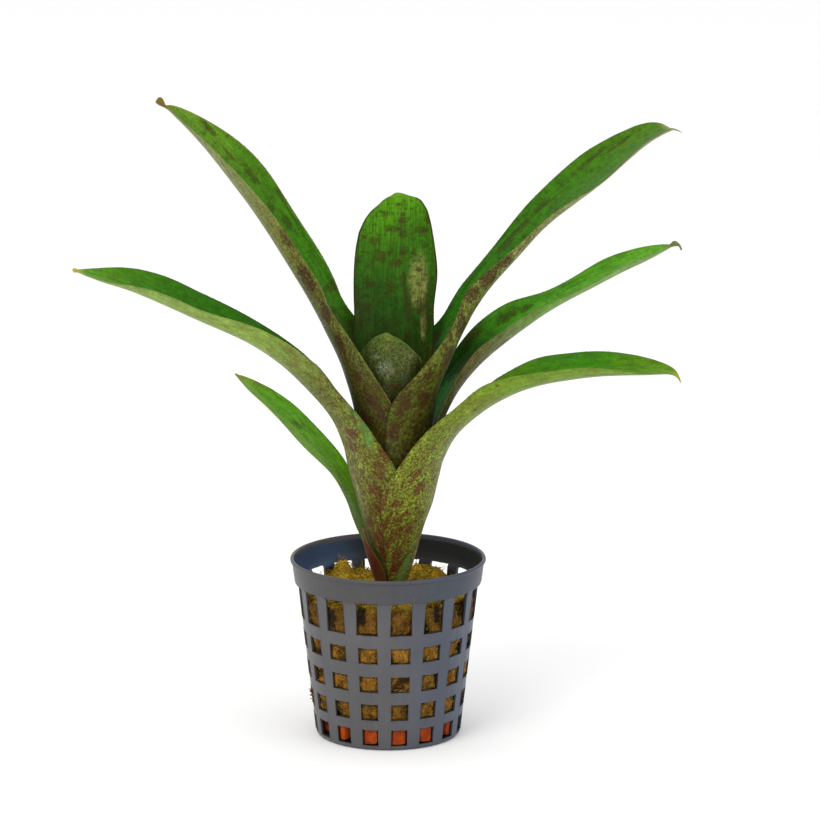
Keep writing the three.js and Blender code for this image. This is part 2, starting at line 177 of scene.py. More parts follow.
class Surface:
    """A Principled material and short names for the nodes that feed it."""

    def __init__(self, name, roughness=0.5, specular=0.35, tint=(1.0, 1.0, 1.0)):
        self.material = bpy.data.materials.new(name)
        self.material.use_nodes = True
        self.tree = self.material.node_tree
        self.tree.nodes.clear()
        self.shader = self.tree.nodes.new("ShaderNodeBsdfPrincipled")
        output = self.tree.nodes.new("ShaderNodeOutputMaterial")
        self.tree.links.new(self.shader.outputs["BSDF"], output.inputs["Surface"])
        self.feed(self.shader, {"Roughness": roughness, "Specular IOR Level": specular,
                                "Specular Tint": tint + (1.0,)})

    def feed(self, node, inputs):
        """inputs maps a socket's name or number to a value, a number, a vector or a colour code."""
        for key, entry in inputs.items():
            if isinstance(entry, Value):
                self.tree.links.new(entry.socket, node.inputs[key])
            elif entry is not None:
                node.inputs[key].default_value = linear(entry) if isinstance(entry, str) else entry

    def node(self, kind, output, inputs, **settings):
        """The named or numbered output of a new node."""
        node = self.tree.nodes.new("ShaderNode" + kind)
        for key, setting in settings.items():
            setattr(node, key, setting)
        self.feed(node, inputs)
        return Value(self, node.outputs[output])

    def math(self, operation, *entries):
        return self.node("Math", 0, dict(enumerate(entries)), operation=operation)

    def larger(self, a, b):
        return self.math("MAXIMUM", a, b)

    def vector(self, operation, *entries):
        return self.node("VectorMath", 0, dict(enumerate(entries)), operation=operation)

    def times(self, vector, x, y, z):
        return self.vector("MULTIPLY", vector, (x, y, z))

    def attribute(self, name, output="Vector"):
        return self.node("Attribute", output, {}, attribute_name=name)

    def place(self):
        return self.node("NewGeometry", "Position", {})

    def parts(self, vector):
        first = self.node("SeparateXYZ", 0, {0: vector})
        return [Value(self, socket) for socket in first.socket.node.outputs]

    def noise(self, vector, scale=1.0, detail=2.0, roughness=0.5):
        inputs = {"Vector": vector, "Scale": scale, "Detail": detail, "Roughness": roughness}
        return self.node("TexNoise", "Fac", inputs)

    def grain(self, vector, x, y, z, detail=2.0, roughness=0.5):
        """Noise that is finer by x, y and z along the three axes."""
        return self.noise(self.times(vector, x, y, z), 1.0, detail, roughness)

    def step(self, value, low, high, start=0.0, end=1.0):
        inputs = dict(enumerate((value, low, high, start, end)))
        return self.node("MapRange", 0, inputs, interpolation_type="SMOOTHSTEP")

    def ramp(self, value, stops):
        """Colour codes or plain numbers at places from 0 to 1."""
        ramp = self.node("ValToRGB", 0, {0: value})
        elements = ramp.socket.node.color_ramp.elements
        while len(elements) < len(stops):
            elements.new(1.0)
        for element, (position, colour) in zip(elements, stops):
            element.position = position
            element.color = linear(colour) if isinstance(colour, str) else (colour, colour, colour, 1.0)
        return ramp

    def mix(self, factor, a, b):
        return self.node("Mix", 2, {0: factor, 6: a, 7: b}, data_type="RGBA")

    def dapple(self, vector, across, along, keep):
        """Roundish soft spots of uneven size, one in some of the cells of the given size."""
        wobble = {"Vector": self.times(vector, 1.1 / across, 1.1 / along, 1), "Detail": 3}
        shift = self.vector("SUBTRACT", self.node("TexNoise", "Color", wobble), (0.5, 0.5, 0.5))
        cells = self.times(vector, 1 / across, 1 / along, 1)
        spot = self.vector("ADD", cells, self.times(shift, 0.9, 0.9, 0))
        cell = self.node("TexVoronoi", "Distance", {"Vector": spot, "Scale": 1.0}, voronoi_dimensions="2D")
        size, rank, _ = self.parts(Value(self, cell.socket.node.outputs["Color"]))
        radius = 0.2 + size * 0.32
        return self.step(cell, radius, radius * 0.3) * self.step(rank, keep + 0.08, keep - 0.08)

    def shade(self, colour, amount):
        """Multiplies a colour by a number."""
        return self.node("VectorMath", 0, {0: colour, "Scale": amount}, operation="SCALE")

    def bump(self, height, distance_mm, strength=1.0, normal=None):
        inputs = {"Height": height, "Distance": distance_mm * MM, "Strength": strength, "Normal": normal}
        return self.node("Bump", 0, inputs)

    def finish(self, colour, roughness=None, normal=None):
        self.feed(self.shader, {"Base Color": colour, "Roughness": roughness, "Normal": normal})
        return self.material


# ---- Leaves ------------------------------------------------------------------------------

# The shapes repeat the CAD's, in millimetres and degrees; tip_form, trim, left and right are finer detail.
# layer: 0 for the outermost. azimuth: where the leaf points; sweep: how far it turns from there to its tip.
# wrap: half of what its sheath embraces. neck and lift: heights between which the sheath narrows and its
# arc becomes the blade's. path: the midrib beyond the funnel, as distance from the axis and height.
# taper and tip: length and roundness of the tip. fold: half of what the blade's arc spans.
# edge_left and edge_right: share of the half width at distances from the tip.
# tip_form: rings of the dry tip beyond the blade: forward, towards the upper face, half width, half depth.
# trim: how much shorter the blade is, to leave room for them.
# left and right: width of each half, evenly spaced along the blade, as width, fold and roll are.
LEAVES = [
    dict(node="leaf_c_lower_left", layer=0, azimuth=152, wrap=25, neck=(44, 68), lift=(56, 74), funnel_top=54,
         path=[(11.1, 60.5), (14.2, 66.8), (19.9, 74.6), (31.7, 84.5), (44.4, 93.6), (51, 98.1)],
         width=[7, 13, 14, 12], taper=30, tip=0.8, fold=[42, 38, 28, 20], roll=[0, 0],
         left=[0.85, 0.84, 0.9, 1.04, 1.27, 1.6], right=[1.1, 0.95, 0.82, 0.88, 1.2, 1.6],
         trim=1.0, tip_form=[(0.5, 0, 0.45, 0.3), (1.0, 0, 0.2, 0.2)]),
    dict(node="leaf_h_lower_right", layer=1, azimuth=-10, wrap=97, neck=(66, 95),
         lift=(78, 98), funnel_top=60,
         path=[(10.9, 66.3), (12.65, 73.5), (14.4, 79.9), (19.1, 88), (29.4, 96.8), (43, 102.5),
               (60.5, 105.7), (77, 106.8), (81.3, 104.6)],
         width=[20, 20.5, 20.5, 20], taper=30, tip=0.9, fold=[74, 80, 58, 25], roll=[0, 4, 6, 10],
         left=[1, 1.1, 1.1, 1.05, 1, 1, 1, 1, 1], right=[1.2, 1, 0.74, 0.82, 0.96, 0.94, 1, 1.12, 1.2],
         trim=1.5, tip_form=[(0.6, -0.1, 0.5, 0.34), (1.4, -0.4, 0.28, 0.22), (2.0, -0.8, 0.12, 0.12)]),
    dict(node="leaf_b_middle_left", layer=2, azimuth=188, wrap=105, neck=(62, 99),
         lift=(82, 104), funnel_top=62,
         path=[(12, 76), (13.7, 83.5), (17.4, 92), (25, 101.3), (37.2, 112.1), (57, 122.3), (73, 129.8),
               (90, 135.8)],
         width=[19, 18.5, 20, 19], taper=30, tip=0.9, fold=[76, 72, 60, 30], roll=[0, 4, 8, 14],
         left=[0.75, 1, 0.92, 0.96, 1.03, 1], right=[1.24, 1.24, 1.1, 0.98, 1, 1],
         trim=2.2, tip_form=[(0.4, 0, 0.85, 0.62), (0.9, 0, 0.7, 0.55), (1.3, 0, 0.25, 0.25)]),
    dict(node="leaf_g_middle_right", layer=3, azimuth=22, wrap=80, neck=(62, 96),
         lift=(84, 106), funnel_top=64,
         path=[(10.6, 76), (14.3, 90.5), (24.5, 103.4), (43.2, 116.2), (60.3, 124), (77, 130.2),
               (87.5, 134.4)],
         width=[22, 17.5, 13, 24], taper=32, tip=0.9, fold=[64, 62, 54, 40], roll=[0, 0],
         left=[1, 1.2, 1.25, 1.15, 1, 1, 1, 1, 1],
         right=[0.85, 0.92, 0.94, 1.16, 1.22, 0.96, 0.95, 1.07, 1.18, 1.25],
         trim=2.2, tip_form=[(0.7, 0.1, 0.8, 0.6), (1.4, 0.1, 1.05, 0.8), (2.1, -0.2, 1.15, 0.86),
                             (2.6, -1.0, 1.1, 0.8), (2.75, -1.9, 0.85, 0.62), (2.6, -2.4, 0.4, 0.28)]),
    dict(node="leaf_f_upper_right", layer=4, azimuth=20, wrap=120, neck=(84, 117),
         lift=(102, 124), funnel_top=66,
         path=[(9.4, 76), (11.45, 93), (13.9, 102.3), (20.9, 115.7), (31.7, 129.4), (45.7, 143), (62, 155.1),
               (77.5, 165.6), (87, 168.6)],
         width=[25, 14, 23.5, 25], taper=26, tip=0.45, fold=[72, 76, 46, 32], roll=[0, -7, -1, 0],
         left=[1.35, 1.4, 1.1, 0.8, 0.7, 0.82, 0.95], right=[1, 0.95, 1.12, 1.08, 1.03, 1.04, 1.0, 1.15],
         trim=3.2, tip_form=[(0.5, -0.1, 0.5, 0.34), (1.3, -0.5, 0.34, 0.28), (2.2, -1.1, 0.22, 0.2),
                             (3.0, -1.8, 0.12, 0.12)]),
    dict(node="leaf_a_upper_left", layer=5, azimuth=163, wrap=118, neck=(84, 122),
         lift=(102, 126), funnel_top=66,
         path=[(8.1, 76), (10.1, 91), (12.6, 101.2), (16, 110.1), (25.4, 126.1), (36.1, 142), (49.3, 159.5),
               (63.4, 173.5), (69.5, 177)],
         width=[25, 20, 23, 20], taper=36, tip=0.7, fold=[68, 78, 80, 45], roll=[0, 0],
         left=[0.8, 0.83, 1.04, 1, 0.98, 1.05, 1.1], right=[1.1, 1.2, 1.12, 1.0, 0.88, 0.68, 0.6],
         trim=3.0, tip_form=[(0.4, 0.1, 0.65, 0.5), (1.0, 0.3, 0.85, 0.75), (1.7, 0.5, 1.15, 1.05),
                             (2.4, 0.6, 1.3, 1.1), (2.9, 0.5, 1.1, 0.9), (3.05, 0.45, 0.5, 0.4)]),
    dict(node="leaf_d_centre_back", layer=6, azimuth=86, wrap=72, neck=(98, 120),
         lift=(100, 122), funnel_top=66,
         path=[(7, 76), (9, 94), (11, 110), (14, 126), (18, 141), (21.5, 151)],
         width=[24.5, 24.5, 24.5], taper=24, tip=0.4, fold=[42, 36, 30], roll=[0, 0],
         edge_left=[(0, 0.05), (0.6, 0.22), (1.1, 0.46), (2.1, 0.59), (3.6, 0.68), (5, 0.76), (7, 0.82),
                    (9.2, 0.865), (13.5, 0.925), (20, 0.98), (24, 1), (31, 0.97)],
         edge_right=[(0, 0.05), (0.6, 0.15), (1.6, 0.3), (3.3, 0.43), (5.3, 0.62), (7.1, 0.74), (9.5, 0.85),
                     (11.5, 0.92), (15.6, 0.98), (20, 1)],
         trim=0.3, tip_form=[(0.3, 0, 0.3, 0.2)]),
    dict(node="leaf_e_centre_young", layer=7, azimuth=250, wrap=80, neck=(84, 106),
         lift=(96, 110), funnel_top=68,
         path=[(6, 78), (8, 92), (8.9, 103), (7.8, 111), (5, 116)],
         width=[24, 25], taper=10, tip=0.45, fold=[74, 66], roll=[0, 0],
         edge_left=[(0, 0.1), (0.6, 0.5), (1.6, 0.74), (3.2, 0.9), (5.5, 1), (9, 1)],
         edge_right=[(0, 0.1), (0.8, 0.4), (2, 0.62), (3.6, 0.8), (6, 0.94), (9, 1)],
         trim=0.2, tip_form=[(0.25, 0, 0.3, 0.2)]),
]
BRACT = dict(node="basal_bract", layer=0, azimuth=219, sweep=-18, wrap=38, neck=(44, 58), lift=(56, 62),
             funnel_top=54, path=[(8.9, 59.5)], width=[7, 7], taper=19, tip=1.05, fold=[40, 40], roll=[0, 0],
             trim=0.2, tip_form=[(0.3, 0, 0.2, 0.15)])

# Columns across a leaf, crowded towards its margins, and the length of its rows
LEAF_COLUMNS, COLUMN_SPREAD, ROW_STEP = 44, 0.86, 0.7
# The thickness of a leaf's margin, as a share of its thickness
RIM_SHARE = 0.16
NO_MARKS = (0.0, 0.0, 0.0)
# How far apart the textures of two leaves are read, for each unit of seed
SEED_SHIFT = 31.7


class Curve:
    """A uniform Catmull-Rom curve with a reading by arc length, as three.js draws it."""

    def __init__(self, points):
        self.points = np.array(points, dtype=float)
        steps = 400
        samples = np.array([self.at(i / steps) for i in range(steps + 1)])
        self.travel = np.concatenate([[0], np.cumsum(np.linalg.norm(np.diff(samples, axis=0), axis=1))])
        self.length = self.travel[-1]
        self.steps = np.linspace(0, 1, steps + 1)

    def at(self, t):
        count = len(self.points)
        p = (count - 1) * min(1.0, max(0.0, t))
        i = min(int(p), count - 2)
        w = p - i
        a, b, c, d = (self.points[min(count - 1, max(0, k))] for k in (i - 1, i, i + 1, i + 2))
        v0, v1 = (c - a) / 2, (d - b) / 2
        return (2 * b - 2 * c + v0 + v1) * w ** 3 + (-3 * b + 3 * c - 2 * v0 - v1) * w ** 2 + v0 * w + b

    def by_length(self, along):
        t = np.interp(along * self.length, self.travel, self.steps)
        tangent = self.at(min(1, t + 1e-4)) - self.at(max(0, t - 1e-4))
        return self.at(t), tangent / np.linalg.norm(tangent)


def reader(values):
    curve = Curve([(i, v) for i, v in enumerate(values)])
    return lambda t: curve.at(t)[1]


def rounded(outline, place):
    """A reading of [place, value] points with its corners rounded off."""
    places, values = zip(*outline)
    return sum(np.interp(place + shift, places, values) for shift in (-0.5, -0.2, 0.2, 0.5)) / 4


def funnel_radius(z, layer):
    above = z - FUNNEL_FOOT_Z
    belly = FUNNEL_BELLY * math.sin(math.pi * above / FUNNEL_HEIGHT)
    return FUNNEL_FOOT_RADIUS + FUNNEL_SLOPE * above + belly - LAYER_PITCH * layer


def turned(vector, axis, angle):
    """A vector turned about a unit axis."""
    cos, sin = math.cos(angle), math.sin(angle)
    return vector * cos + np.cross(axis, vector) * sin + axis * np.dot(axis, vector) * (1 - cos)


def midrib(leaf):
    seat_z = FIRST_SEAT_Z + SEAT_STEP_Z * leaf["layer"]
    heights = [lerp(seat_z, leaf["funnel_top"], i / 3) for i in range(4)]
    return Curve([(funnel_radius(z, leaf["layer"]), z) for z in heights] + leaf["path"])


def leaf_rings(leaf):
    """The cross-sections of a leaf, from its seat to its tip, with what the material needs at each point."""
    curve = midrib(leaf)
    length = curve.length
    end = 1 - leaf["trim"] / length
    read = {key: reader(leaf.get(key, [1, 1])) for key in ("width", "fold", "roll", "left", "right")}
    up = np.array([0.0, 0.0, 1.0])
    rows = int(length / ROW_STEP)
    narrowest = 0.06
    spread = math.pi / 2 * COLUMN_SPREAD
    across = np.sin(np.linspace(-1, 1, LEAF_COLUMNS + 1) * spread) / math.sin(spread)
    middle, flat, sections = [], [], []
    for row in range(rows + 1):
        along = end * row / rows
        (rib_r, rib_z), (run, rise) = curve.by_length(along)
        azimuth = math.radians(leaf["azimuth"] + leaf.get("sweep", 0) * along)
        out = np.array([math.cos(azimuth), math.sin(azimuth), 0.0])
        side = np.array([-out[1], out[0], 0.0])
        narrowing = smoothstep(rib_z, *leaf["neck"])
        bladeness = smoothstep(rib_z, *leaf["lift"])
        blade_place = (along - BLADE_START) / (1 - BLADE_START)
        to_tip = max(0.0, length * (1 - along) - leaf["trim"])
        sheath_width = 2 * rib_r * math.radians(leaf["wrap"])
        tip_shape = math.sin(math.pi / 2 * min(1, to_tip / leaf["taper"])) ** leaf["tip"]
        tip_share = lerp(narrowest, 1, tip_shape)
        blade_width = read["width"](blade_place) * tip_share
        width = lerp(sheath_width, blade_width, narrowing)
        blade_fold = math.radians(read["fold"](blade_place))
        bend = lerp(rib_r, blade_width / (2 * blade_fold), bladeness)
        halves = []
        for half in ("left", "right"):
            share = read[half](blade_place)
            if "edge_" + half in leaf:
                share *= rounded(leaf["edge_" + half], to_tip) / tip_share
            halves.append(lerp(1, share, narrowing))
        halves = np.where(across < 0, halves[0], halves[1])
        turn = across * halves * width / (2 * bend)
        inward = -out * lerp(1, rise, bladeness) + up * lerp(0, run, bladeness)
        inward /= np.linalg.norm(inward)
        tangent = out * run + up * rise
        roll = math.radians(read["roll"](blade_place)) * bladeness * (1 if out[0] > 0 else -1)
        lateral, inward = turned(side, tangent, roll), turned(inward, tangent, roll)
        centre = out * rib_r + up * rib_z + np.array([PLANT_X, 0, PLANT_Z])
        rise_in, reach = bend * (1 - np.cos(turn)), bend * np.sin(turn)
        middle.append(centre + np.outer(rise_in, inward) + np.outer(reach, lateral))
        flat.append(np.stack([across * halves * width / 2, np.full(len(across), along * length)], axis=1))
        sections.append(dict(width=width, bladeness=bladeness, to_tip=to_tip, narrowing=narrowing,
                             centre=centre, tangent=tangent, inward=inward, lateral=lateral))
    return np.array(middle), np.array(flat), sections, across


def leaf_relief(flat, sections, across, seed):
    """How far the leaf's middle surface is moved along its normal: fluting, a keel and slow waves."""
    flute, keel, wave, dent = 0.05, -0.28, 0.45, 0.35
    flute_pitch, keel_breadth, wave_run = 1.7, 0.9, 5.2
    lift = np.zeros(flat.shape[:2])
    for i, section in enumerate(sections):
        blade = section["bladeness"] * smoothstep(section["to_tip"], 0, 12)
        for j in range(len(across)):
            x, y = flat[i, j]
            fluting = flute * math.sin(2 * math.pi * x / flute_pitch + 0.6 * math.sin(y / 9 + seed))
            denting = dent * noise.noise(Vector((x * 0.12, y * 0.07, seed * 9)))
            keeled = keel * math.exp(-(x / keel_breadth) ** 2)
            waving = wave * abs(across[j]) ** 2 * math.sin(y / wave_run + seed * 2 + (1.2 if x > 0 else 0))
            lift[i, j] = (fluting + denting) * (0.25 + 0.75 * blade) * (0.4 if blade < 0.05 else 1)
            lift[i, j] += (keeled + waving) * blade
    return lift


def leaf_piece(leaf, seed, spine_gap=1.9, thickness=LEAF_THICKNESS):
    middle, flat, sections, across = leaf_rings(leaf)
    normal = np.cross(np.gradient(middle, axis=0), np.gradient(middle, axis=1))
    normal /= np.linalg.norm(normal, axis=2, keepdims=True)
    middle = middle + normal * leaf_relief(flat, sections, across, seed)[:, :, None]
    thin_margin, thick_rib, rib_breadth = 0.42, 0.25, 0.12
    depth = thickness / 2 * (thin_margin + (1 - thin_margin) * (1 - np.abs(across) ** 3))
    depth = depth * (1 + thick_rib * np.exp(-(across / rib_breadth) ** 2))
    upper = middle + normal * depth[None, :, None]
    under = middle - normal * depth[None, :, None]

    def margin(edge, inner):
        out = middle[:, edge] - middle[:, inner]
        return middle[:, edge] + out / np.linalg.norm(out, axis=1, keepdims=True) * (thickness * RIM_SHARE)

    left, right = margin(0, 1), margin(-1, -2)
    marks = [marks_at(leaf["node"], face, flat) for face in ("u", "l")]
    layer = seed * SEED_SHIFT
    columns = len(across)
    # Side (0 upper, 0.5 margin, 1 under) and column of each point of a ring
    ring = [(0.0, k) for k in range(columns)] + [(0.5, columns - 1)]
    ring += [(1.0, k) for k in reversed(range(columns))] + [(0.5, 0)]
    points, notes = [], []
    for i, section in enumerate(sections):
        points += list(upper[i]) + [right[i]] + list(under[i][::-1]) + [left[i]]
        for side, k in ring:
            zone = (side, 1 - section["narrowing"], section["width"] / 2 * (1 - abs(across[k])))
            notes.append(((*flat[i, k], layer), zone, section["to_tip"], marks[int(side > 0)][i, k]))
    last = sections[-1]
    for forward, rise, half_width, half_depth in leaf["tip_form"]:
        core = last["centre"] + last["tangent"] * forward + last["inward"] * rise
        for side, k in ring:
            lean = across[k] * math.pi / 2
            swell = half_depth * math.cos(lean) * (1 - 2 * side)
            points.append(core + last["lateral"] * half_width * math.sin(lean) + last["inward"] * swell)
            zone = (side, 0.0, half_width * (1 - abs(across[k])))
            place = (flat[-1, k][0], flat[-1, 0][1] + forward, layer)
            notes.append((place, zone, -forward, NO_MARKS))
    size = len(ring)
    rings = len(sections) + len(leaf["tip_form"])
    faces = [quad[::-1] for quad in tube(0, rings, size)]
    for base, flip in ((0, True), ((rings - 1) * size, False)):
        strip = [base + k for k in range(size)]
        caps = [(strip[0], strip[-1], strip[-2])]
        for j in range(columns - 1):
            caps.append((strip[j], strip[-2 - j], strip[-3 - j], strip[j + 1]))
        caps.append((strip[columns - 1], strip[columns + 1], strip[columns]))
        faces += [cap[::-1] if flip else cap for cap in caps]
    add_spines(points, faces, notes, middle, sections, spine_gap, seed)
    return build(leaf["node"].replace("leaf_", "blade_").replace("basal_", "dry_"), points, faces,
                 dict(zip(("place", "zone", "to_tip", "marks"), zip(*notes))))


def add_spines(points, faces, notes, middle, sections, gap, seed):
    """Small dark hooked spines along both margins, pointing out and towards the tip."""
    first_spine, spine_length, buried = 6.0, 0.36, 0.06
    half_depth, half_root, hook = 0.09, 0.4, 0.55
    chance = random.Random(int(seed * 1000) + 5)
    for edge, inner in ((0, 1), (-1, -2)):
        walked, goal = 0.0, first_spine
        for i in range(1, len(sections)):
            stride = middle[i, edge] - middle[i - 1, edge]
            walked += np.linalg.norm(stride)
            fade = smoothstep(sections[i]["to_tip"], 4, 22)
            if walked < goal or fade < 0.15:
                continue
            goal = walked + gap * chance.uniform(0.6, 1.6)
            ahead = stride / np.linalg.norm(stride)
            outward = middle[i, edge] - middle[i, inner]
            outward /= np.linalg.norm(outward)
            depth = np.cross(ahead, outward) * half_depth
            size = spine_length * fade * chance.uniform(0.5, 1.2)
            root = middle[i, edge] - outward * buried
            base = len(points)
            for along_sign, depth_sign in ((-1, -1), (1, -1), (1, 1), (-1, 1)):
                points.append(root + ahead * half_root * along_sign * size + depth * depth_sign)
            points.append(root + outward * size + ahead * size * hook)
            sides = [(base + 3, base + 2, base + 1, base)]
            sides += [(base + k, base + (k + 1) % 4, base + 4) for k in range(4)]
            faces += [side[::-1] for side in sides] if edge == -1 else sides
            place, zone = (0.0, walked, seed * SEED_SHIFT), (0.5, 0.0, -1.0)
            notes += [(place, zone, sections[i]["to_tip"], NO_MARKS)] * 5


def leaf_surface(name, upper, under, length, spots, blotches, flecks, scurf, veil=0.5, stripe=0.45, rim=0.3,
                 dark="480c10", rim_colour="4a2c18", tip_colour="6b5a1e", green="2c6a30", pale="8c9447",
                 ground="6a5a24", stained="5a1818", plain_from=0.8):
    """upper and under: colour stops from seat to tip; their darker stops near the seat are partly the leaf's
    own tone and partly painted shade deep in the funnel. Strengths: spots on the upper face; blotches,
    flecks, veil and scurf on the under face and the sheath; stripe: ribbing; rim: the thin margin line, dark
    on most leaves;
    where rim_colour is pale, it is partly scurf and partly a painted highlight along the margin.
    ground: what the veil turns to. plain_from: how far along the markings end."""
    s = Surface(name, roughness=0.42, specular=0.16, tint=(0.75, 1.0, 0.45))
    s.feed(s.shader, {"Sheen Weight": 0.08, "Sheen Roughness": 0.3})
    place = s.attribute("place")
    side, sheath, margin = s.parts(s.attribute("zone"))
    maroon, greener, paler = s.parts(s.attribute("marks"))
    along = s.parts(place)[1] / length
    to_tip = s.attribute("to_tip", "Fac")
    underside = s.step(side, 0.35, 0.65)
    below = s.larger(underside, sheath * 0.8)

    broad = s.grain(place, 0.11, 0.05, 1, 3, 0.6)
    streak = s.grain(place, 3.1, 0.06, 1, 2, 0.65)
    cloudy = s.grain(place, 0.5, 0.28, 1, 4, 0.65)
    ragged = s.grain(place, 0.85, 0.7, 1.9, 3, 0.6)
    fine = s.grain(place, 2.3, 1.8, 1, 3, 0.7)
    pepper = s.grain(place, 3.3, 2.5, 2.7, 2, 0.6)

    def torn(strength, level, low, high, end):
        """A marking with torn edges: its strength, less where the ragged and the fine noise say."""
        edge = (ragged - 0.5) * 3.6 + (fine - 0.5) * 2.8 + (pepper - 0.5) * 2.2 + strength * 1.7 - level
        return s.step(edge, low, high, 0.0, end) * s.step(strength, 0.0, 0.15)

    # Ground colour, clouded and finely ribbed
    drifting = along + (broad - 0.5) * 0.25
    colour = s.mix(underside, s.ramp(drifting, upper), s.ramp(drifting, under))
    colour = s.shade(colour, s.step(cloudy, 0.3, 0.7, 0.78, 1.22))
    ribbing = s.step(streak, 0.42, 0.62, 0.0, stripe)
    colour = s.mix(ribbing, colour, s.shade(colour, 0.55))
    colour = s.shade(colour, s.step(fine, 0.3, 0.7, 0.8, 1.2))

    # Places of their own: pale patches, on leaf D partly a painted sheen highlight, and blue-green ones, on
    # leaf G partly painted light
    uneven = (cloudy - 0.5) * 1.5 + (streak - 0.5) * 1.3
    pale_tissue_and_sheen = s.step(paler + uneven, 0.05, 1.25) * s.step(paler, 0.0, 0.7) * s.step(fine, 0.36, 0.62, 0.3, 0.7)
    colour = s.mix(pale_tissue_and_sheen, colour, pale)
    colour = s.mix(torn(greener, 0.4, -0.4, 0.75, 0.75), colour, green)

    # Soft brown spots in loose rows across the upper face, and drawn-out dark lines low on it
    rows = s.grain(place, 0.05, 0.3, 1, 2, 0.6)
    keep = s.step(rows, 0.4, 0.6, 0.3, 0.75) + s.ramp(along, [(0.0, 0.4), (0.6, 0.1), (1.0, 0.0)])
    large = s.dapple(place, 3.2, 2.3, keep * 0.7)
    small = s.dapple(s.times(place, 1, 1, 2.7), 1.7, 1.25, keep)
    lines = s.step(s.grain(place, 1.5, 0.09, 5), 0.54, 0.66)
    lines = lines * s.step(s.grain(place, 0.16, 0.07, 6), 0.48, 0.62) * s.step(along, 0.95, 0.6)
    upper_spots = s.larger(s.larger(large, small * 0.75), lines)
    upper_spots = upper_spots * s.step(fine, 0.36, 0.6, 0.4 * spots, spots)

    # Brown veil, dense small flecks and soft maroon blotches on the under face and the sheath
    dense = s.ramp(along, [(0.0, 0.18), (0.3, 0.12), (0.55, 0.04), (0.8, -0.1), (1.0, -0.16)])
    haze = s.grain(place, 0.3, 0.24, 1.7, 4, 0.7)
    haze = s.step(haze + dense, 0.5, 0.7, 0.0, veil)
    fading = s.step(along, plain_from, plain_from - 0.3, 0.12, 1.0)
    colour = s.mix(haze * below, colour, ground)
    speck = s.grain(place, 1.35, 1.15, 2.1, 4, 0.75) + dense * 0.4
    dots = s.larger(s.step(speck, 0.52, 0.6), s.step(pepper, 0.55, 0.63, 0.0, 0.8))
    shadow = dots * below * fading * flecks * s.step(greener, 0.6, 0.2, 0.35, 1.0)
    light = s.step(speck, 0.49, 0.38, 0.0, 0.65 * flecks) * below * fading
    colour = s.mix(shadow * 0.85, s.shade(colour, 1.0 + light), "34200c")
    patch = s.grain(place, 0.66, 0.4, 1.3, 5, 0.72) + (fine - 0.5) * 0.3
    mottle = s.step(patch + dense * 0.5, 0.585, 0.65, 0.0, blotches)
    mottle = mottle * fading * s.step(pepper, 0.38, 0.56, 0.45, 1.0)
    spotted = s.mix(below, upper_spots, mottle)
    stain = torn(maroon, 0.5, -0.1, 0.55, 1.0) * s.step(side, 0.35, 0.65, 0.8, 1.0)
    stain = stain * s.step(pepper, 0.36, 0.56, 0.55, 1.0)
    spotted = s.larger(spotted, stain) * s.step(greener, 0.6, 0.2, 0.15, 1.0)
    tone = s.mix(s.step(fine, 0.4, 0.6), s.mix(0.45, dark, "140a06"), s.mix(0.3, dark, "5c2a1a"))
    tone = s.mix(s.step(side, 0.35, 0.65, 0.3, 0.0), tone, "1c3006")
    tone = s.mix(s.step(stain, 0.2, 0.8) * s.step(side, 0.35, 0.65, 0.0, 0.6), tone, stained)
    colour = s.mix(spotted * 0.88, colour, tone)

    # Pale scurf, thin dark margins, dry tip and dark spines
    dust = s.step(s.grain(place, 2.6, 1.9, 3, 4, 0.75), 0.45, 0.72)
    drift = s.step(s.grain(place, 0.2, 0.08, 4), 0.4, 0.7, 0.1, 1.0)
    amount = dust * drift * s.step(side, 0.3, 0.7) * scurf
    colour = s.mix(amount, colour, "a9b094")
    line = s.step(margin, 0.55, 0.12) * s.step(cloudy, 0.35, 0.6, 0.4 * rim, rim)
    colour = s.mix(line, colour, rim_colour)
    colour = s.mix(s.step(to_tip, 2.6, -0.6), colour, tip_colour)
    colour = s.mix(s.step(margin, -0.4, -0.6), colour, "2b1710")

    rough = 0.38 + cloudy * 0.16 + amount * 0.25
    return s.finish(colour, rough, s.bump(fine, 0.05, 0.35, s.bump(streak, 0.1, 0.55)))
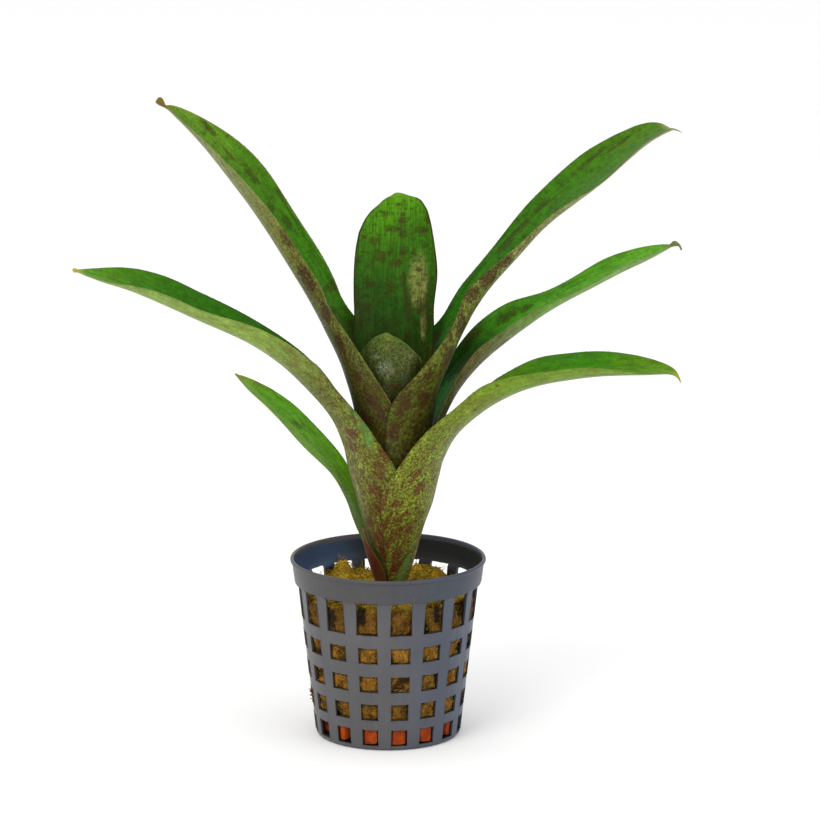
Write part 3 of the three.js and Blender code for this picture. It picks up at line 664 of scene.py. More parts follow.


# The darker colour stops near the seat are partly the leaves' own tone and partly painted shade deep in the
# funnel
LEAF_LOOKS = {
    "leaf_c_lower_left": dict(
        upper=[(0, "6a7a16"), (0.45, "649a1a"), (0.8, "66ac20"), (1, "7a9a20")],
        under=[(0, "6b7424"), (0.45, "6f9a28"), (0.8, "7aa82a"), (1, "86a42a")],
        spots=0.15, blotches=0.25, flecks=0.3, scurf=0.1, rim=0.2, plain_from=0.5,
        tip_colour="8a8a2a", pale="86a83a"),
    "leaf_h_lower_right": dict(
        upper=[(0, "5a7014"), (0.4, "5a8a1c"), (0.55, "48780c"), (0.75, "327402"), (1, "5c840c")],
        under=[(0, "7c8a28"), (0.28, "88982e"), (0.42, "7a8c2c"), (0.6, "70902a"), (1, "6e8c2a")],
        spots=0.15, blotches=0.85, flecks=0.9, scurf=0.12, veil=0.4, rim=0.2, tip_colour="8f9430",
        green="3f8a4c", plain_from=0.62),
    "leaf_b_middle_left": dict(
        upper=[(0, "3a5210"), (0.5, "246008"), (0.8, "2e6a08"), (1, "548a18")],
        under=[(0, "788426"), (0.28, "809030"), (0.42, "667434"), (0.6, "84a046"), (1, "84a04c")],
        spots=0.25, blotches=0.85, flecks=0.9, scurf=0.15, veil=0.5, rim=0.25, tip_colour="a09a40",
        green="3f7a3a", plain_from=0.62),
    "leaf_g_middle_right": dict(
        upper=[(0, "2a6414"), (0.3, "286014"), (0.46, "1b4a10"), (0.6, "4e9a20"), (1, "60a422")],
        under=[(0, "4a5a20"), (0.4, "6c6c3a"), (0.55, "6c7e3e"), (0.7, "6c9a42"), (1, "7a9c50")],
        spots=0.35, blotches=0.8, flecks=0.6, scurf=0.3, rim=0.3, plain_from=0.7,
        tip_colour="6a6a3a", green="3aa040"),
    "leaf_f_upper_right": dict(
        upper=[(0, "2a4a0c"), (0.5, "266a0a"), (0.8, "376c02"), (1, "467008")],
        under=[(0, "36430f"), (0.28, "4c5f14"), (0.4, "6a7a26"), (0.6, "8a8a50"), (1, "808c58")],
        spots=0.7, blotches=0.95, flecks=1, scurf=0.1, veil=0.4, rim=0.3, plain_from=0.85,
        tip_colour="8a8a50", ground="5a4a1c", dark="34100a", stained="38160c"),
    # Leaf A's pale rim_colour is partly scurf and partly a painted highlight along its margins
    "leaf_a_upper_left": dict(
        upper=[(0, "2a480c"), (0.5, "38740f"), (0.8, "447810"), (1, "648622")],
        under=[(0, "303c12"), (0.33, "445214"), (0.43, "586426"), (0.6, "767c34"), (1, "868e62")],
        spots=0.7, blotches=0.95, flecks=1, scurf=0.14, veil=0.4, rim=0.35, plain_from=0.8,
        rim_colour="7a7440", tip_colour="6e5a24", ground="5a4a1c", dark="34100a", stained="3a1612"),
    "leaf_d_centre_back": dict(
        upper=[(0, "152c06"), (0.5, "1e3e0a"), (0.7, "23520c"), (0.86, "35670a"), (0.95, "46800a"),
               (1, "4e8a0c")],
        under=[(0, "4a5620"), (0.5, "4f7028"), (1, "5f9030")],
        spots=1.1, blotches=0.7, flecks=0.6, scurf=0.3, rim=0.95, rim_colour="2a160c", stripe=0.75,
        tip_colour="5a8a12", pale="a8a45c", dark="301006"),
    # Leaf E's pale rim_colour is partly scurf and partly a painted highlight along its margins
    "leaf_e_centre_young": dict(
        upper=[(0, "22380e"), (1, "3a6a16")],
        under=[(0, "1c260c"), (0.6, "26330e"), (0.85, "364816"), (1, "4a601a")],
        spots=0.5, blotches=0.8, flecks=1.2, scurf=0.35, veil=0.3, rim=0.8, plain_from=2.0,
        rim_colour="9a9060", tip_colour="5a6a26", pale="808a70", dark="3c1c0c", stained="3a1e10"),
}

# How far a marking fades out, as a share of its half sizes
MARK_REACH = 1.35
# Markings besides the scattered ones. Keys: face (u upper, l lower) and kind (m maroon, g green, p pale).
# Each: place across and along from the seat, half its breadth and half its length.
MARKS = {
    "leaf_a_upper_left": {
        "lm": [(10, 89, 1.6, 3.2), (8.7, 77.2, 2.2, 4.2), (11, 66.5, 2.2, 2.6), (12.5, 58.6, 2, 2.4),
            (14.5, 50.5, 1.8, 1.6), (15.5, 44, 1.8, 2.2), (11, 37.5, 2, 2.4), (17, 40, 1.2, 3)],
        "um": [(-5.5, 127, 0.8, 3), (-6.8, 110, 1, 3.5), (-10.6, 100.3, 0.8, 2.5), (-7.4, 93.3, 1.1, 2.5),
            (-9, 71.6, 1.8, 1.8), (-5.6, 99, 1.2, 1.3), (-5, 64, 2, 3), (-9, 58, 2, 4), (-3, 56, 1.5, 4),
            (-5, 118, 0.7, 2.5)]},
    "leaf_f_upper_right": {
        "lm": [(-6.3, 86.7, 1.5, 3.2), (-6.4, 80.8, 2.2, 2.8), (-7.6, 75, 2, 2.2), (-9, 66.5, 2.6, 2.4),
            (-12, 58.5, 3, 2.4), (-18, 54.5, 2, 2), (-14.2, 46.8, 2.4, 2.4), (-20.4, 46, 1.8, 4),
            (-20.6, 38, 1.6, 3)],
        "um": [(6, 92.1, 1, 4), (6.3, 99, 0.9, 3.5), (7, 107, 0.8, 4), (9.2, 127.5, 0.6, 5),
            (7, 135.7, 0.6, 4), (7.8, 61, 1.2, 3)]},
    "leaf_g_middle_right": {
        "um": [(6.5, 77.3, 1.5, 3.5), (5, 83, 0.9, 2), (8.4, 66.8, 1.2, 3), (3, 62, 1.4, 3)],
        "lm": [(-5.5, 61, 2, 3.2), (-5.5, 55.4, 2, 2.2), (-5.5, 69, 1.4, 2.6), (-6, 48, 2.4, 3)],
        # Brighter green on the upper face near the margin: partly its own green and partly painted light
        "ug": [(3.2, 44, 2.6, 9)]},
    "leaf_h_lower_right": {
        "lm": [(-18.8, 28.5, 0.8, 5), (-15.4, 21.5, 0.9, 4.4), (-11.9, 14, 0.8, 4.4),
            (-12.4, 22.6, 1.6, 1.6), (-10.4, 19.4, 2.2, 1.6), (-14.8, 28.4, 1.6, 1.2),
            (-12.6, 36.8, 1.6, 1.8), (-9.4, 32.8, 1.8, 1.8), (-11.2, 25, 1.4, 1.2), (-8, 11.6, 1.3, 2.2),
            (-6.6, 7.4, 1.5, 2.2), (-7, 19.4, 1.3, 1.4), (-9.3, 67, 0.3, 0.4), (-6.3, 58.2, 0.4, 0.5)],
        "lg": [(-4, 7, 1.3, 4.6)]},
    "leaf_b_middle_left": {
        # The first four, a narrow maroon line where B comes out from under leaf H's margin, are partly maroon
        # colouring and partly painted shade under that margin
        "lm": [(11.6, 27, 1.1, 3.4), (9.6, 20.5, 1.1, 4), (7.3, 14.5, 1.1, 4), (5.6, 9, 1.2, 4),
            (4, 17, 1.6, 1.5), (17.4, 39.5, 1.3, 2.4), (14.6, 36, 1.6, 1.6), (14.2, 33, 1.3, 1.3),
            (9, 45, 2.6, 1.6), (7.4, 41, 1.6, 1.6), (9.8, 28.2, 1.4, 1.3), (5, 13, 1.6, 1.8)],
        "lg": [(14, 46, 1.5, 6)],
        "lp": [(9.5, 36, 3, 5)]},
    "leaf_c_lower_left": {
        "up": [(4.6, 46, 4.4, 40)],
        "um": [(-3.6, 55.7, 0.5, 1.4), (-1.8, 56.5, 0.8, 1.8)]},
    "leaf_d_centre_back": {
        "um": [(4.4, 75.4, 1.9, 1.5), (0.1, 73.8, 1.7, 1.4), (-8.5, 62.6, 2.2, 1.8), (-2.2, 77.2, 1.3, 1.2),
            (-1.8, 82, 1.4, 1.1), (2, 83.4, 1.5, 1.1), (-1.4, 85.7, 1.3, 1), (3.6, 87.6, 1.1, 0.9),
            (6.6, 79.8, 1.7, 1.2), (7.7, 67.7, 1.7, 1.3), (8.3, 61.3, 1.6, 1.3), (1.4, 67, 1.4, 1.3),
            (-7.5, 83.1, 2.2, 1.1), (-9.6, 86, 1.2, 1.1), (11.6, 63.5, 0.8, 3), (10.3, 58.3, 0.9, 2.6),
            (-3, 63, 0.7, 4), (-2.3, 68.5, 0.7, 3.4), (-9.3, 58, 1.2, 4), (-8.2, 61.5, 1.4, 1.6)],
        # Pale strip on the upper face: partly paler tissue and partly a painted sheen highlight
        "up": [(-6.6, 68.5, 3, 8), (-8.6, 56.5, 1.1, 4.4)]},
    "leaf_e_centre_young": {
        "lp": [(1.2, 44, 2.6, 3), (-2, 47.5, 1.5, 1)],
        "lm": [(-2, 33.5, 7, 3.2), (3.5, 39, 2.6, 0.7), (-4, 38.6, 2, 0.7)]},
}


def marks_at(name, face, flat):
    """How strongly each kind of marking shows at the points of one face: maroon, green, pale."""
    strength = np.zeros(flat.shape[:-1] + (3,))
    for index, kind in enumerate("mgp"):
        for *centre, breadth, length in MARKS.get(name, {}).get(face + kind, []):
            gap = ((flat - centre) / (MARK_REACH * np.array([breadth, length]))) ** 2
            strength[..., index] = np.maximum(strength[..., index], np.clip(1 - gap.sum(axis=-1), 0, 1))
    return strength


def make_leaves():
    for index, leaf in enumerate(LEAVES):
        seed = 0.37 + 0.713 * index
        piece = leaf_piece(leaf, seed)
        look = LEAF_LOOKS[leaf["node"]]
        material = leaf_surface("tissue_" + leaf["node"][5:], length=midrib(leaf).length, **look)
        dress(piece, material, leaf["node"])
    scale = leaf_piece(BRACT, 8.3, spine_gap=2.2, thickness=0.6)
    material = leaf_surface(
        "dry_scale", upper=[(0, "2c1608"), (1, "4a2a10")],
        under=[(0, "3a0e08"), (0.55, "541a0e"), (1, "5a3a16")],
        length=midrib(BRACT).length, spots=0.5, blotches=0.6, flecks=0.5, scurf=0.1, veil=0.2, rim=0.3,
        rim_colour="7a5c34", tip_colour="6e5636")
    dress(scale, material, BRACT["node"])


# ---- Net pot -----------------------------------------------------------------------------

def body_radius(z):
    return BASE_RADIUS + (z - FLOOR) * (BODY_TOP_RADIUS - BASE_RADIUS) / (BODY_TOP_Z - FLOOR)


def pot_profile():
    """[radius, height, half width of the opening at that level, kind of opening above this level, inside]."""
    slot, plain = SLOT_WIDTH / 2, 3
    levels = [(0.0, 0.0, slot, None, 0), (SLOT_IN, 0, slot, "slot", 0), (SLOT_OUT, 0, slot, None, 0),
              (BASE_RADIUS - BASE_ROUNDING, 0, 2.2, None, 0),
              (BASE_RADIUS - 0.6, 0.2, 2.25, None, 0), (BASE_RADIUS - 0.17, 0.62, 2.25, None, 0)]
    rows = sorted(HOLE_ROWS)
    for foot, head, width in rows:
        levels.append((body_radius(foot), foot, width / 2, "hole", 0))
        levels.append((body_radius(head), head, width / 2, None, 0))
    top_half, top_z = rows[-1][2] / 2, rows[-1][1]
    levels[-1] = (body_radius(BODY_TOP_Z), BODY_TOP_Z, top_half, "hole", 0)
    levels.append((COLLAR_FOOT_RADIUS - 0.5, top_z, top_half, None, 0))
    levels += [(COLLAR_FOOT_RADIUS - 0.1, COLLAR_FOOT_Z - 0.1, 2.95, None, 0),
               (COLLAR_FOOT_RADIUS, COLLAR_FOOT_Z + 0.25, plain, None, 0),
               (lerp(COLLAR_FOOT_RADIUS, COLLAR_TOP_RADIUS, 0.5), COLLAR_FOOT_Z + 2.9, plain, None, 0)]
    lip_foot = POT_HEIGHT - LIP_HEIGHT
    levels.append((COLLAR_TOP_RADIUS - 0.02, lip_foot - 0.12, plain, None, 0))
    roll_r, roll_z = 0.55, 0.6
    core_r, core_z = LIP_RADIUS - roll_r, POT_HEIGHT - roll_z
    for step in range(11):
        angle = math.radians(-62 + step * 22)
        levels.append((core_r + roll_r * math.cos(angle), core_z + roll_z * math.sin(angle), plain, None, 0))
    levels += [(COLLAR_TOP_RADIUS - WALL + 0.05, lip_foot - 0.5, plain, None, 1),
               (lerp(COLLAR_FOOT_RADIUS, COLLAR_TOP_RADIUS, 0.4) - WALL, COLLAR_FOOT_Z + 2.5, plain, None, 1),
               (COLLAR_FOOT_RADIUS - WALL - 0.1, COLLAR_FOOT_Z + 0.5, plain, None, 1)]
    inner = [(COLLAR_FOOT_RADIUS - WALL - 0.55, top_z, top_half, "hole", 1),
             (body_radius(BODY_TOP_Z) - WALL, BODY_TOP_Z, top_half, "hole", 1)]
    for foot, head, width in reversed(rows):
        if head < BODY_TOP_Z:
            inner.append((body_radius(head) - WALL, head, width / 2, "hole", 1))
        inner.append((body_radius(foot) - WALL, foot, width / 2, None, 1))
    levels += inner
    levels += [(BASE_RADIUS - WALL - 0.35, FLOOR, 2.2, None, 1), (SLOT_OUT, FLOOR, slot, "slot", 1),
               (SLOT_IN, FLOOR, slot, None, 1), (0.0, FLOOR, slot, None, 1)]
    return levels


def pot_piece():
    levels = pot_profile()
    hole_cells, rib_cells = 6, 4
    cells = hole_cells + rib_cells
    count = cells * HOLE_COLUMNS
    pitch = 2 * math.pi / HOLE_COLUMNS
    points, inside, index = [], [], []
    for radius, z, half_width, _, within in levels:
        if radius == 0:
            index.append([len(points)] * count)
            points.append((0.0, 0.0, z))
            inside.append(float(within))
            continue
        half = math.asin(min(0.9, half_width / radius))
        row = []
        for column in range(HOLE_COLUMNS):
            centre = math.radians(HOLE_TURN_DEG - 90) + column * pitch
            for cell in range(cells):
                if cell <= hole_cells:
                    turn = centre + half * (2 * cell / hole_cells - 1)
                else:
                    turn = centre + half + (pitch - 2 * half) * (cell - hole_cells) / rib_cells
                row.append(len(points))
                points.append(polar(radius, turn, z))
                inside.append(float(within))
        index.append(row)

    def is_open(level, cell):
        kind = levels[level][3]
        if kind is None or cell % cells >= hole_cells:
            return False
        return kind == "hole" or (cell // cells) % 2 == 0

    faces = []
    for level in range(len(levels) - 1):
        for cell in range(count):
            a, b = index[level][cell], index[level][(cell + 1) % count]
            c, d = index[level + 1][(cell + 1) % count], index[level + 1][cell]
            if not is_open(level, cell):
                face = (a, b, c, d)
                faces.append(tuple(v for i, v in enumerate(face) if v != face[i - 1]))
    # Each opening's edge on the outside is joined to its mate, the edge on the inside
    mate = {}
    for i, (radius, z, _, _, within) in enumerate(levels):
        if within == 0:
            for j, (other, height, _, _, inner) in enumerate(levels):
                same_wall = z > FLOOR and inner == 1 and abs(height - z) < 1e-6
                same_base = z == 0 and inner == 1 and height == FLOOR and other == radius and radius > 0
                if same_wall or same_base:
                    mate[i] = j
    for level in mate:
        for cell in range(count):
            if not is_open(level, cell):
                continue
            after = (cell + 1) % count
            low, high = index[level], index[level + 1]
            low_in, high_in = index[mate[level]], index[mate[level + 1]]
            if not is_open(level - 1, cell):
                faces.append((low[cell], low_in[cell], low_in[after], low[after]))
            if not is_open(level + 1, cell):
                faces.append((high[after], high_in[after], high_in[cell], high[cell]))
            if cell % cells == 0:
                faces.append((high[cell], high_in[cell], low_in[cell], low[cell]))
            if cell % cells == hole_cells - 1:
                faces.append((low[after], low_in[after], high_in[after], high[after]))
    piece = build("slotted_pot", points, faces, {"inside": inside})
    bevel = piece.modifiers.new("rounding", "BEVEL")
    bevel.width = EDGE_ROUNDING * MM
    bevel.segments = 2
    bevel.limit_method = "ANGLE"
    bevel.angle_limit = math.radians(50)
    rounded_mesh = bpy.data.meshes.new_from_object(piece.evaluated_get(bpy.context.evaluated_depsgraph_get()))
    piece.modifiers.clear()
    piece.data = rounded_mesh
    for vertex in piece.data.vertices:
        vertex.co.z = max(0.0, vertex.co.z)
    piece.data.polygons.foreach_set("use_smooth", [True] * len(piece.data.polygons))
    piece.data.set_sharp_from_angle(angle=math.radians(38))
    return piece


def pot_surface():
    s = Surface("moulded_plastic", roughness=0.42, specular=0.35)
    place = s.place()
    x, _, z = s.parts(place)
    inside = s.attribute("inside", "Fac")
    broad = s.noise(place, 55, 3, 0.6)
    grain = s.noise(place, 1900, 3, 0.7)
    flow = s.grain(place, 260, 260, 18)
    colour = s.ramp(broad * 0.7 + flow * 0.3, [(0.3, "444447"), (0.5, "4c4b4d"), (0.7, "535254")])
    # Painted light: the right side is painted bluer and darker, and the collar and lip darker than the body
    # below them, for how the light falls on the pot
    colour = s.mix(s.step(x, -0.006, 0.026, 0.0, 0.85), colour, "364052")
    colour = s.shade(colour, s.step(z, 0.0435, 0.0445, 1.12, 0.82))
    colour = s.shade(colour, s.step(x, 0.017, 0.025, 1.0, 0.8))
    dust = s.step(s.noise(place, 620, 4, 0.7), 0.56, 0.78, 0.0, 0.16)
    colour = s.mix(dust, colour, "7a7a78")
    scuff = s.step(s.grain(place, 900, 900, 60, 2, 0.6), 0.64, 0.72, 0.0, 0.12)
    colour = s.mix(scuff, colour, "686a6c")
    soil = s.step(s.noise(place, 240, 4, 0.65) + s.step(z, 0.035, 0.0, 0.0, 0.08), 0.62, 0.72, 0, 0.3)
    colour = s.mix(soil * (0.3 + inside * 0.7), colour, "4a4232")
    # Painted shade and reflection: the inside wall is painted near black, with a painted blue reflection
    # (lit) high on its left
    lit = s.step(x, -0.004, -0.02) * s.step(z, 0.0428, 0.0438)
    colour = s.mix(s.step(inside, 0.45, 0.95, 0.0, 0.94), colour, s.mix(lit, "131311", "30496e"))
    rough = 0.34 + broad * 0.14 + dust * 0.8
    return s.finish(colour, rough, s.bump(flow, 0.06, 0.25, s.bump(grain, 0.02, 0.25)))


# ---- Clay pebbles ------------------------------------------------------------------------

def ball(detail):
    """Points and faces of a unit icosphere."""
    mesh = bmesh.new()
    bmesh.ops.create_icosphere(mesh, subdivisions=detail, radius=1.0)
    points = np.array([v.co[:] for v in mesh.verts])
    faces = [tuple(v.index for v in f.verts) for f in mesh.faces]
    mesh.free()
    return points, faces


def clay_piece():
    inner = BASE_RADIUS - WALL - 0.12
    foot = FLOOR + 0.08
    half = (CLAY_TOP_Z - foot) / 2
    # Distance from the axis, turn, radius and seed of each pebble: two rings and one in the middle
    places = []
    for index in range(CLAY_PEBBLES):
        turn = math.radians(HOLE_TURN_DEG + index * 360 / CLAY_PEBBLES - 90)
        radius = 4.3 + 0.2 * math.sin(5 * index)
        places.append((inner - radius, turn, radius, index))
    for index in range(CLAY_INNER_RING):
        places.append((7.4, index * 2 * math.pi / CLAY_INNER_RING + 0.3, 3.8, 20 + index))
    places.append((0.4, 1.0, 4.2, 30))
    unit, triangles = ball(5)
    points, faces, pores = [], [], []
    for out, turn, radius, seed in places:
        offset = len(points)
        cos, sin = math.cos(seed * 1.3), math.sin(seed * 1.3)
        for x, y, z in unit:
            bulge = 1 - 0.1 * (0.5 - 0.5 * noise.noise(Vector((x * 1.1, y * 1.1, z * 1.1 + seed * 7))))
            pit = noise.fractal(Vector((x * 4, y * 4, z * 4 + seed * 3)), 1.0, 2.0, 3)
            scale = bulge - 0.018 * max(0.0, pit)
            flat = math.copysign(abs(z) ** 0.55, z)
            spread = (1 - abs(flat) ** 8) ** 0.125 / max(0.05, math.hypot(x, y)) if abs(flat) < 0.999 else 0
            spread = lerp(1.0, spread, 0.9)
            px, py = x * radius * scale * spread, y * radius * scale * spread
            spot_x = out * math.cos(turn) + px * cos - py * sin
            spot_y = out * math.sin(turn) + px * sin + py * cos
            spot_z = foot + half + flat * half * scale
            reach = math.hypot(spot_x, spot_y)
            if reach > inner - 1.6:
                fill = 0.8 * in_opening(math.atan2(spot_y, spot_x), spot_z, 0.05, 0.35)
                push = lerp(reach, body_radius(spot_z) - 0.3 - 0.4 * max(0.0, pit), fill) / reach
                spot_x, spot_y = spot_x * push, spot_y * push
            points.append((spot_x, spot_y, spot_z))
            pores.append(float(max(0.0, pit)))
        faces += [tuple(offset + k for k in f) for f in triangles]
    return build("clay_pebbles", points, faces, {"pore": pores})


def clay_surface():
    s = Surface("fired_clay_surface", roughness=0.6, specular=0.15)
    place = s.place()
    pore = s.attribute("pore", "Fac")
    cloudy = s.noise(place, 210, 4, 0.6)
    grit = s.noise(place, 2600, 4, 0.7)
    colour = s.ramp(cloudy, [(0.3, "6a2000"), (0.46, "863002"), (0.6, "a84404"), (0.75, "8c2e12")])
    # Painted shade: the pebbles are painted darker in their deeper pits
    colour = s.mix(s.step(pore, 0.1, 0.5, 0, 0.45), colour, "7a2a10")
    colour = s.mix(s.step(grit, 0.5, 0.75, 0, 0.2), colour, "d06a20")
    return s.finish(colour, 0.5 + grit * 0.3, s.bump(grit, 0.05, 0.5))


# ---- Moss --------------------------------------------------------------------------------

FIBRE_COUNT, WISP_COUNT, HANGING_COUNT = 4300, 16, 26
# The share of the fibres that lie on top, and the height from which they keep clear of the plant
TOP_SHARE, PLANT_FOOT_Z = 0.36, 36.5


def moss_lump(x, y):
    waves = 0.5 * math.sin(0.55 * x + 1.3) * math.cos(0.48 * y + 0.4)
    waves += 0.35 * math.sin(0.9 * y - 0.6 * x + 2)
    left = 3.4 * math.exp(-(((x + 13.2) / 2.6) ** 4) - ((y - 19) / 5) ** 2)
    right = 2.2 * math.exp(-(((x - 10.5) / 4.6) ** 4) - ((y - 18) / 7) ** 2)
    return waves + left + right


def moss_top(x, y):
    radius = math.hypot(x, y)
    crown = 1.4 * smoothstep(radius, 19, 3)
    return MOSS_TOP_Z + crown + moss_lump(x, y) + 0.3 * smoothstep(radius, 17, 22)


def in_opening(turn, z, edge=0.15, depth=0.7):
    """1 in the middle of an opening of the pot's wall, 0 at its edges and behind the ribs."""
    pitch = 2 * math.pi / HOLE_COLUMNS
    off = (turn - math.radians(HOLE_TURN_DEG - 90) + pitch / 2) % pitch - pitch / 2
    for foot, head, width in HOLE_ROWS:
        if foot < z < head:
            side = width / 2 - abs(off) * body_radius(z)
            gaps = (side, z - foot, head - z)
            return math.prod(smoothstep(gap, edge, depth) for gap in gaps)
    return 0.0


def moss_point(turn, level):
    """A point of the moss at its fullest, its radius, and how deep the skin lies under it.
    Level 0 to 1 runs up the side, 1 to 2 from the rim to the stem."""
    edge = body_radius(MOSS_TOP_Z) - WALL - CLEARANCE - 0.5
    if level <= 1:
        z = lerp(MOSS_FOOT_Z, moss_top(*polar(edge, turn, 0)[:2]) - 0.4, level)
        radius = body_radius(z) - WALL - 0.12 - smoothstep(level, 0.97, 1.0) * 0.6 + 0.5 * in_opening(turn, z)
        x, y, _ = polar(radius, turn, z)
    else:
        radius = max(lerp(edge - 0.2, 0, (level - 1) ** 0.9), 0.001)
        x, y, _ = polar(radius, turn, 0)
        z = moss_top(x, y)
    clump = fractal(x, y, z, 0.33, 4)
    pitting = fractal(x + 50, y, z, 1.1, 3)
    hollow = max(0.0, fractal(x, y + 90, z, 0.16, 2) - 0.12)
    return x, y, z, radius, 0.18 - 0.6 * clump - 0.35 * pitting + 1.8 * hollow


def moss_piece():
    turns, side_levels, top_levels = 420, 120, 76
    points, depth = [], []
    levels = [i / side_levels for i in range(side_levels + 1)]
    levels += [1 + (i + 1) / top_levels for i in range(top_levels)]
    for level in levels:
        for t in range(turns):
            turn = 2 * math.pi * t / turns
            x, y, z, radius, sink = moss_point(turn, level)
            if level <= 1:
                sink = max(0.0, sink)
                k = (radius - sink) / radius
                points.append((x * k, y * k, z))
            else:
                near_stem = smoothstep(math.hypot(x - PLANT_X, y), STEM_RADIUS, STEM_RADIUS + 3)
                rise = -sink * (0.35 + 0.5 * near_stem) + 0.3
                points.append((x, y, z + rise))
            depth.append(sink)
    faces = tube(0, len(levels), turns)
    faces.append(tuple(range(turns - 1, -1, -1)))
    top_ring = (len(levels) - 1) * turns
    faces.append(tuple(range(top_ring, top_ring + turns)))
    return build("moss_bed", points, faces, {"depth": depth})


def strand(points, faces, tint, value, path, radius):
    """A thin three-sided fibre along a path, pointed at both ends."""
    base = len(points)
    count = len(path)
    for i, spot in enumerate(path):
        ahead = path[min(count - 1, i + 1)] - path[max(0, i - 1)]
        ahead.normalize()
        first = ahead.orthogonal().normalized()
        second = ahead.cross(first)
        swell = radius * (0.25 + 0.75 * math.sin(math.pi * (i + 0.6) / (count + 0.2)))
        for k in range(3):
            angle = 2 * math.pi * k / 3
            points.append(tuple(spot + (first * math.cos(angle) + second * math.sin(angle)) * swell))
            tint.append(value)
    faces += tube(base, count, 3)
    faces.append((base + 2, base + 1, base))
    end = base + 3 * (count - 1)
    faces.append((end, end + 1, end + 2))


def wander(chance, spot, heading, kicks, stride, count, steady=False):
    """A wandering path. kicks: mean and spread of the turn at each point along x, y and z."""
    path = []
    for _ in range(count):
        path.append(spot.copy())
        heading = heading + Vector([chance.gauss(*kick) for kick in kicks])
        if steady:
            heading.normalize()
        spot = spot + heading.normalized() * stride
    return path


def kept_fibre(path):
    """The part of a fibre that stays within the pot, off the plant's foot and above the clay."""
    kept = []
    for spot in path:
        limit = body_radius(spot.z) - WALL - 0.1 + 0.6 * in_opening(math.atan2(spot.y, spot.x), spot.z)
        reach = math.hypot(spot.x, spot.y)
        if reach > limit:
            spot = Vector((spot.x * limit / reach, spot.y * limit / reach, spot.z))
        near_stem = math.hypot(spot.x - PLANT_X, spot.y) < STEM_RADIUS + 1.2 and spot.z > PLANT_FOOT_Z
        if near_stem or spot.z < MOSS_FOOT_Z:
            break
        kept.append(spot)
    return kept


def moss_fibres():
    chance = random.Random(41)
    points, faces, tint = [], [], []
    made = 0
    while made < FIBRE_COUNT:
        on_top = chance.random() < TOP_SHARE
        level = 1 + chance.random() ** 1.5 * 0.86 if on_top else chance.uniform(0.02, 0.99)
        turn = chance.uniform(0, 2 * math.pi)
        x, y, z, radius, sink = moss_point(turn, level)
        if on_top:
            start, outward = Vector((x, y, z - sink * 0.8 + 0.25)), Vector((0, 0, 1))
        else:
            k = (radius - max(0.0, sink) - 0.05) / radius
            start, outward = Vector((x * k, y * k, z)), Vector((x, y, 0)).normalized()
        length = chance.uniform(1.6, 4.2)
        heading = Vector([chance.gauss(0, 1) for _ in range(3)])
        heading = (heading - outward * heading.dot(outward) * 0.8).normalized()
        path = kept_fibre(wander(chance, start, heading, [(0, 0.55)] * 3, length / 6, 7, steady=True))
        if len(path) > 3:
            strand(points, faces, tint, chance.random(), path, chance.uniform(0.07, 0.17))
            made += 1
    # Wisps that stand up from the clumps at the back
    for _ in range(WISP_COUNT):
        turn = math.radians(chance.uniform(35, 145))
        out = chance.uniform(14, 22.5)
        x, y, _ = polar(out, turn, 0)
        heading = Vector((chance.gauss(0, 0.5), chance.gauss(0, 0.5), chance.uniform(0.4, 1.0)))
        kicks = [(0, 0.3), (0, 0.3), (-0.12, 0.2)]
        path = wander(chance, Vector((x, y, moss_top(x, y))), heading, kicks, 0.2, 6)
        path = [p for p in path if math.hypot(p.x, p.y) < 23.4]
        if len(path) > 3:
            strand(points, faces, tint, chance.random(), path, chance.uniform(0.1, 0.2))
    # Strands that hang out of one opening on the left
    for _ in range(HANGING_COUNT):
        height, turn = chance.uniform(10.6, 13.4), math.radians(HOLE_TURN_DEG + 180 + chance.uniform(-4, 4))
        out = body_radius(height) - WALL
        start = Vector(polar(out, turn, height))
        heading = Vector((-1, chance.gauss(0, 0.5), chance.gauss(0, 0.6)))
        kicks = [(0.06, 0.3), (0, 0.3), (-0.02, 0.35)]
        path = wander(chance, start, heading, kicks, 0.33, 6)
        strand(points, faces, tint, chance.random(), path, chance.uniform(0.12, 0.2))
    return build("moss_strands", points, faces, {"tint": tint})


# Painted shade: near-black patches on the moss where hollows look dark in the front openings: across, height
# and half breadth
PAINTED_MOSS_HOLLOWS = [(-7.4, 40.0, 1.5), (13.7, 40.0, 1.3), (-15.7, 38.2, 1.4)]


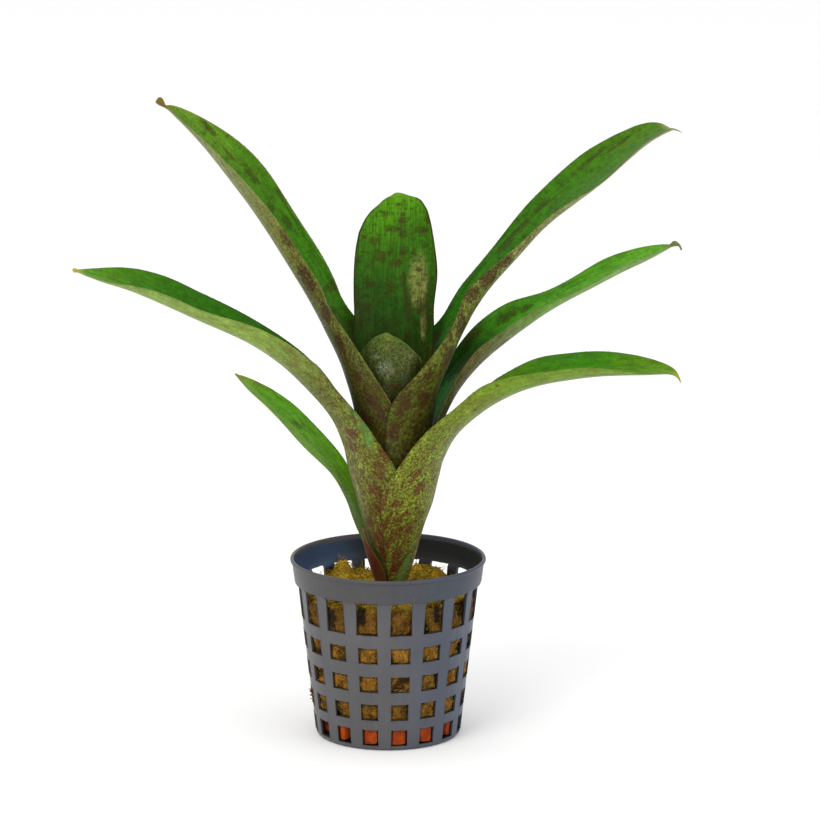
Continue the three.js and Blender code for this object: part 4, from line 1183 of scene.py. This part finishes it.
def moss_surface(name, attribute):
    s = Surface(name, roughness=0.85, specular=0.15)
    place = s.place()
    value = s.attribute(attribute, "Fac")
    patch = s.noise(place, 170, 4, 0.65)
    fine = s.noise(place, 1500, 4, 0.75)
    grain = s.noise(place, 3600, 2, 0.6)
    golden = s.ramp(patch, [(0.28, "463a14"), (0.42, "765414"), (0.55, "8e621c"), (0.68, "9c6826"),
                            (0.8, "74641c")])
    if attribute == "depth":
        # Painted shade and light: the moss is painted dark where its skin lies deep in hollows, and pale on
        # the raised clumps
        colour = s.mix(s.step(value, 0.35, 1.1, 0.0, 0.85), golden, "2c220c")
        colour = s.mix(s.step(value, 0.2, -0.4, 0.0, 0.5), colour, "b88838")
    else:
        own = s.ramp(value, [(0.0, "3c3012"), (0.3, "7a5a20"), (0.6, "a0762c"), (0.85, "c49a4c"),
                             (1.0, "6a6828")])
        colour = s.mix(0.65, golden, own)
    across, depth, height = s.parts(place)
    # Painted shade: darker from 33 mm up under the collar, and darker again below about 16 mm low in the pot;
    # the top above 41 mm is painted golden and brighter, partly the moss's own drier tone and partly painted
    # light from above
    for low, high, beneath, above in ((0.033, 0.036, 0.88, 0.5), (0.0155, 0.0175, 0.76, 0.95)):
        colour = s.shade(colour, s.step(height, low, high, beneath, above))
    crown = s.mix(s.step(patch, 0.4, 0.6), "b89422", "a2861e")
    colour = s.mix(s.step(height, 0.0406, 0.0421, 0.0, 0.8), colour, crown)
    reach = across * across + depth * depth
    front = s.step(reach, 4.4e-4, 5.1e-4) * s.step(depth, 0.0, -0.004, 0.0, 0.9)
    # Near-black patches of painted shade on the front of the moss
    for spot, level, breadth in PAINTED_MOSS_HOLLOWS:
        off = abs(across - spot * MM) + (fine - 0.5) * 2.4 * MM
        hollow = s.step(off, breadth * MM, 0.5 * breadth * MM)
        hollow = hollow * s.step(abs(height - level * MM), 3.4 * MM, 2.2 * MM)
        colour = s.mix(hollow * front, colour, "120e06")
    for texture, darkest, palest in ((fine, 0.5, 1.5), (grain, 0.65, 1.35)):
        colour = s.shade(colour, s.step(texture, 0.3, 0.7, darkest, palest))
    return s.finish(colour, None, s.bump(grain, 0.12, 0.8, s.bump(fine, 0.3, 1.0)))


def stem_surface():
    s = Surface("stem_fibre", roughness=0.8, specular=0.2)
    place = s.place()
    fibre = s.grain(place, 1400, 1400, 120, 3, 0.6)
    blot = s.noise(place, 300, 3, 0.6)
    colour = s.ramp(fibre * 0.6 + blot * 0.4, [(0.3, "3a2a16"), (0.5, "6a5a34"), (0.7, "8a7c4c")])
    return s.finish(colour, None, s.bump(fibre, 0.15, 0.8))


# ---- The whole object --------------------------------------------------------------------

make_leaves()
dress(pot_piece(), pot_surface(), "net_pot")
dress(clay_piece(), clay_surface(), "clay_drainage")
dress(moss_piece(), moss_surface("moss_cushion", "depth"), "moss_fill")
dress(moss_fibres(), moss_surface("moss_thread", "tint"))
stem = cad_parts["stem"]
stem.data.materials.clear()
stem.data.materials.append(stem_surface())


# ---- Floor, light and camera -------------------------------------------------------------

def make_floor():
    half = 3.0
    corners = [(-half, -half, 0), (half, -half, 0), (half, half, 0), (-half, half, 0)]
    mesh = bpy.data.meshes.new("floor")
    mesh.from_pydata(corners, [], [(0, 1, 2, 3)])
    mesh.materials.append(Surface("pale_floor", roughness=0.9, specular=0.1).finish((0.95, 0.95, 0.95, 1)))
    add_object("floor", mesh)


def area_light(name, place, power, size, colour):
    lamp = bpy.data.lights.new(name, "AREA")
    lamp.shape = "DISK"
    lamp.size = size
    lamp.energy = power
    lamp.color = colour
    add_object(name, lamp, place, (0, 0, 0.08))


def make_camera():
    target = Vector((0.0062, 0.0, 0.09365))
    distance, elevation, focal_px, picture_px = 1.3, math.radians(12.9), 4630, 820
    camera = bpy.data.cameras.new("camera")
    camera.sensor_width = 36
    camera.lens = focal_px / picture_px * camera.sensor_width
    place = target + distance * Vector((0, -math.cos(elevation), math.sin(elevation)))
    bpy.context.scene.camera = add_object("camera", camera, place, target)


def make_world():
    world = bpy.data.worlds.new("studio")
    world.use_nodes = True
    world.node_tree.nodes["Background"].inputs["Color"].default_value = (1.0, 1.0, 1.0, 1)
    world.node_tree.nodes["Background"].inputs["Strength"].default_value = 1.0
    bpy.context.scene.world = world


make_floor()
make_world()
area_light("key", place=(-0.55, -0.9, 1.25), power=7.5, size=0.8, colour=(1.0, 0.98, 0.95))
area_light("fill", place=(0.9, -0.6, 0.6), power=2.0, size=0.9, colour=(0.88, 0.93, 1.0))
make_camera()
scene = bpy.context.scene
scene.view_settings.view_transform = "Standard"
scene.view_settings.look = "None"
scene.view_settings.exposure = 0.0
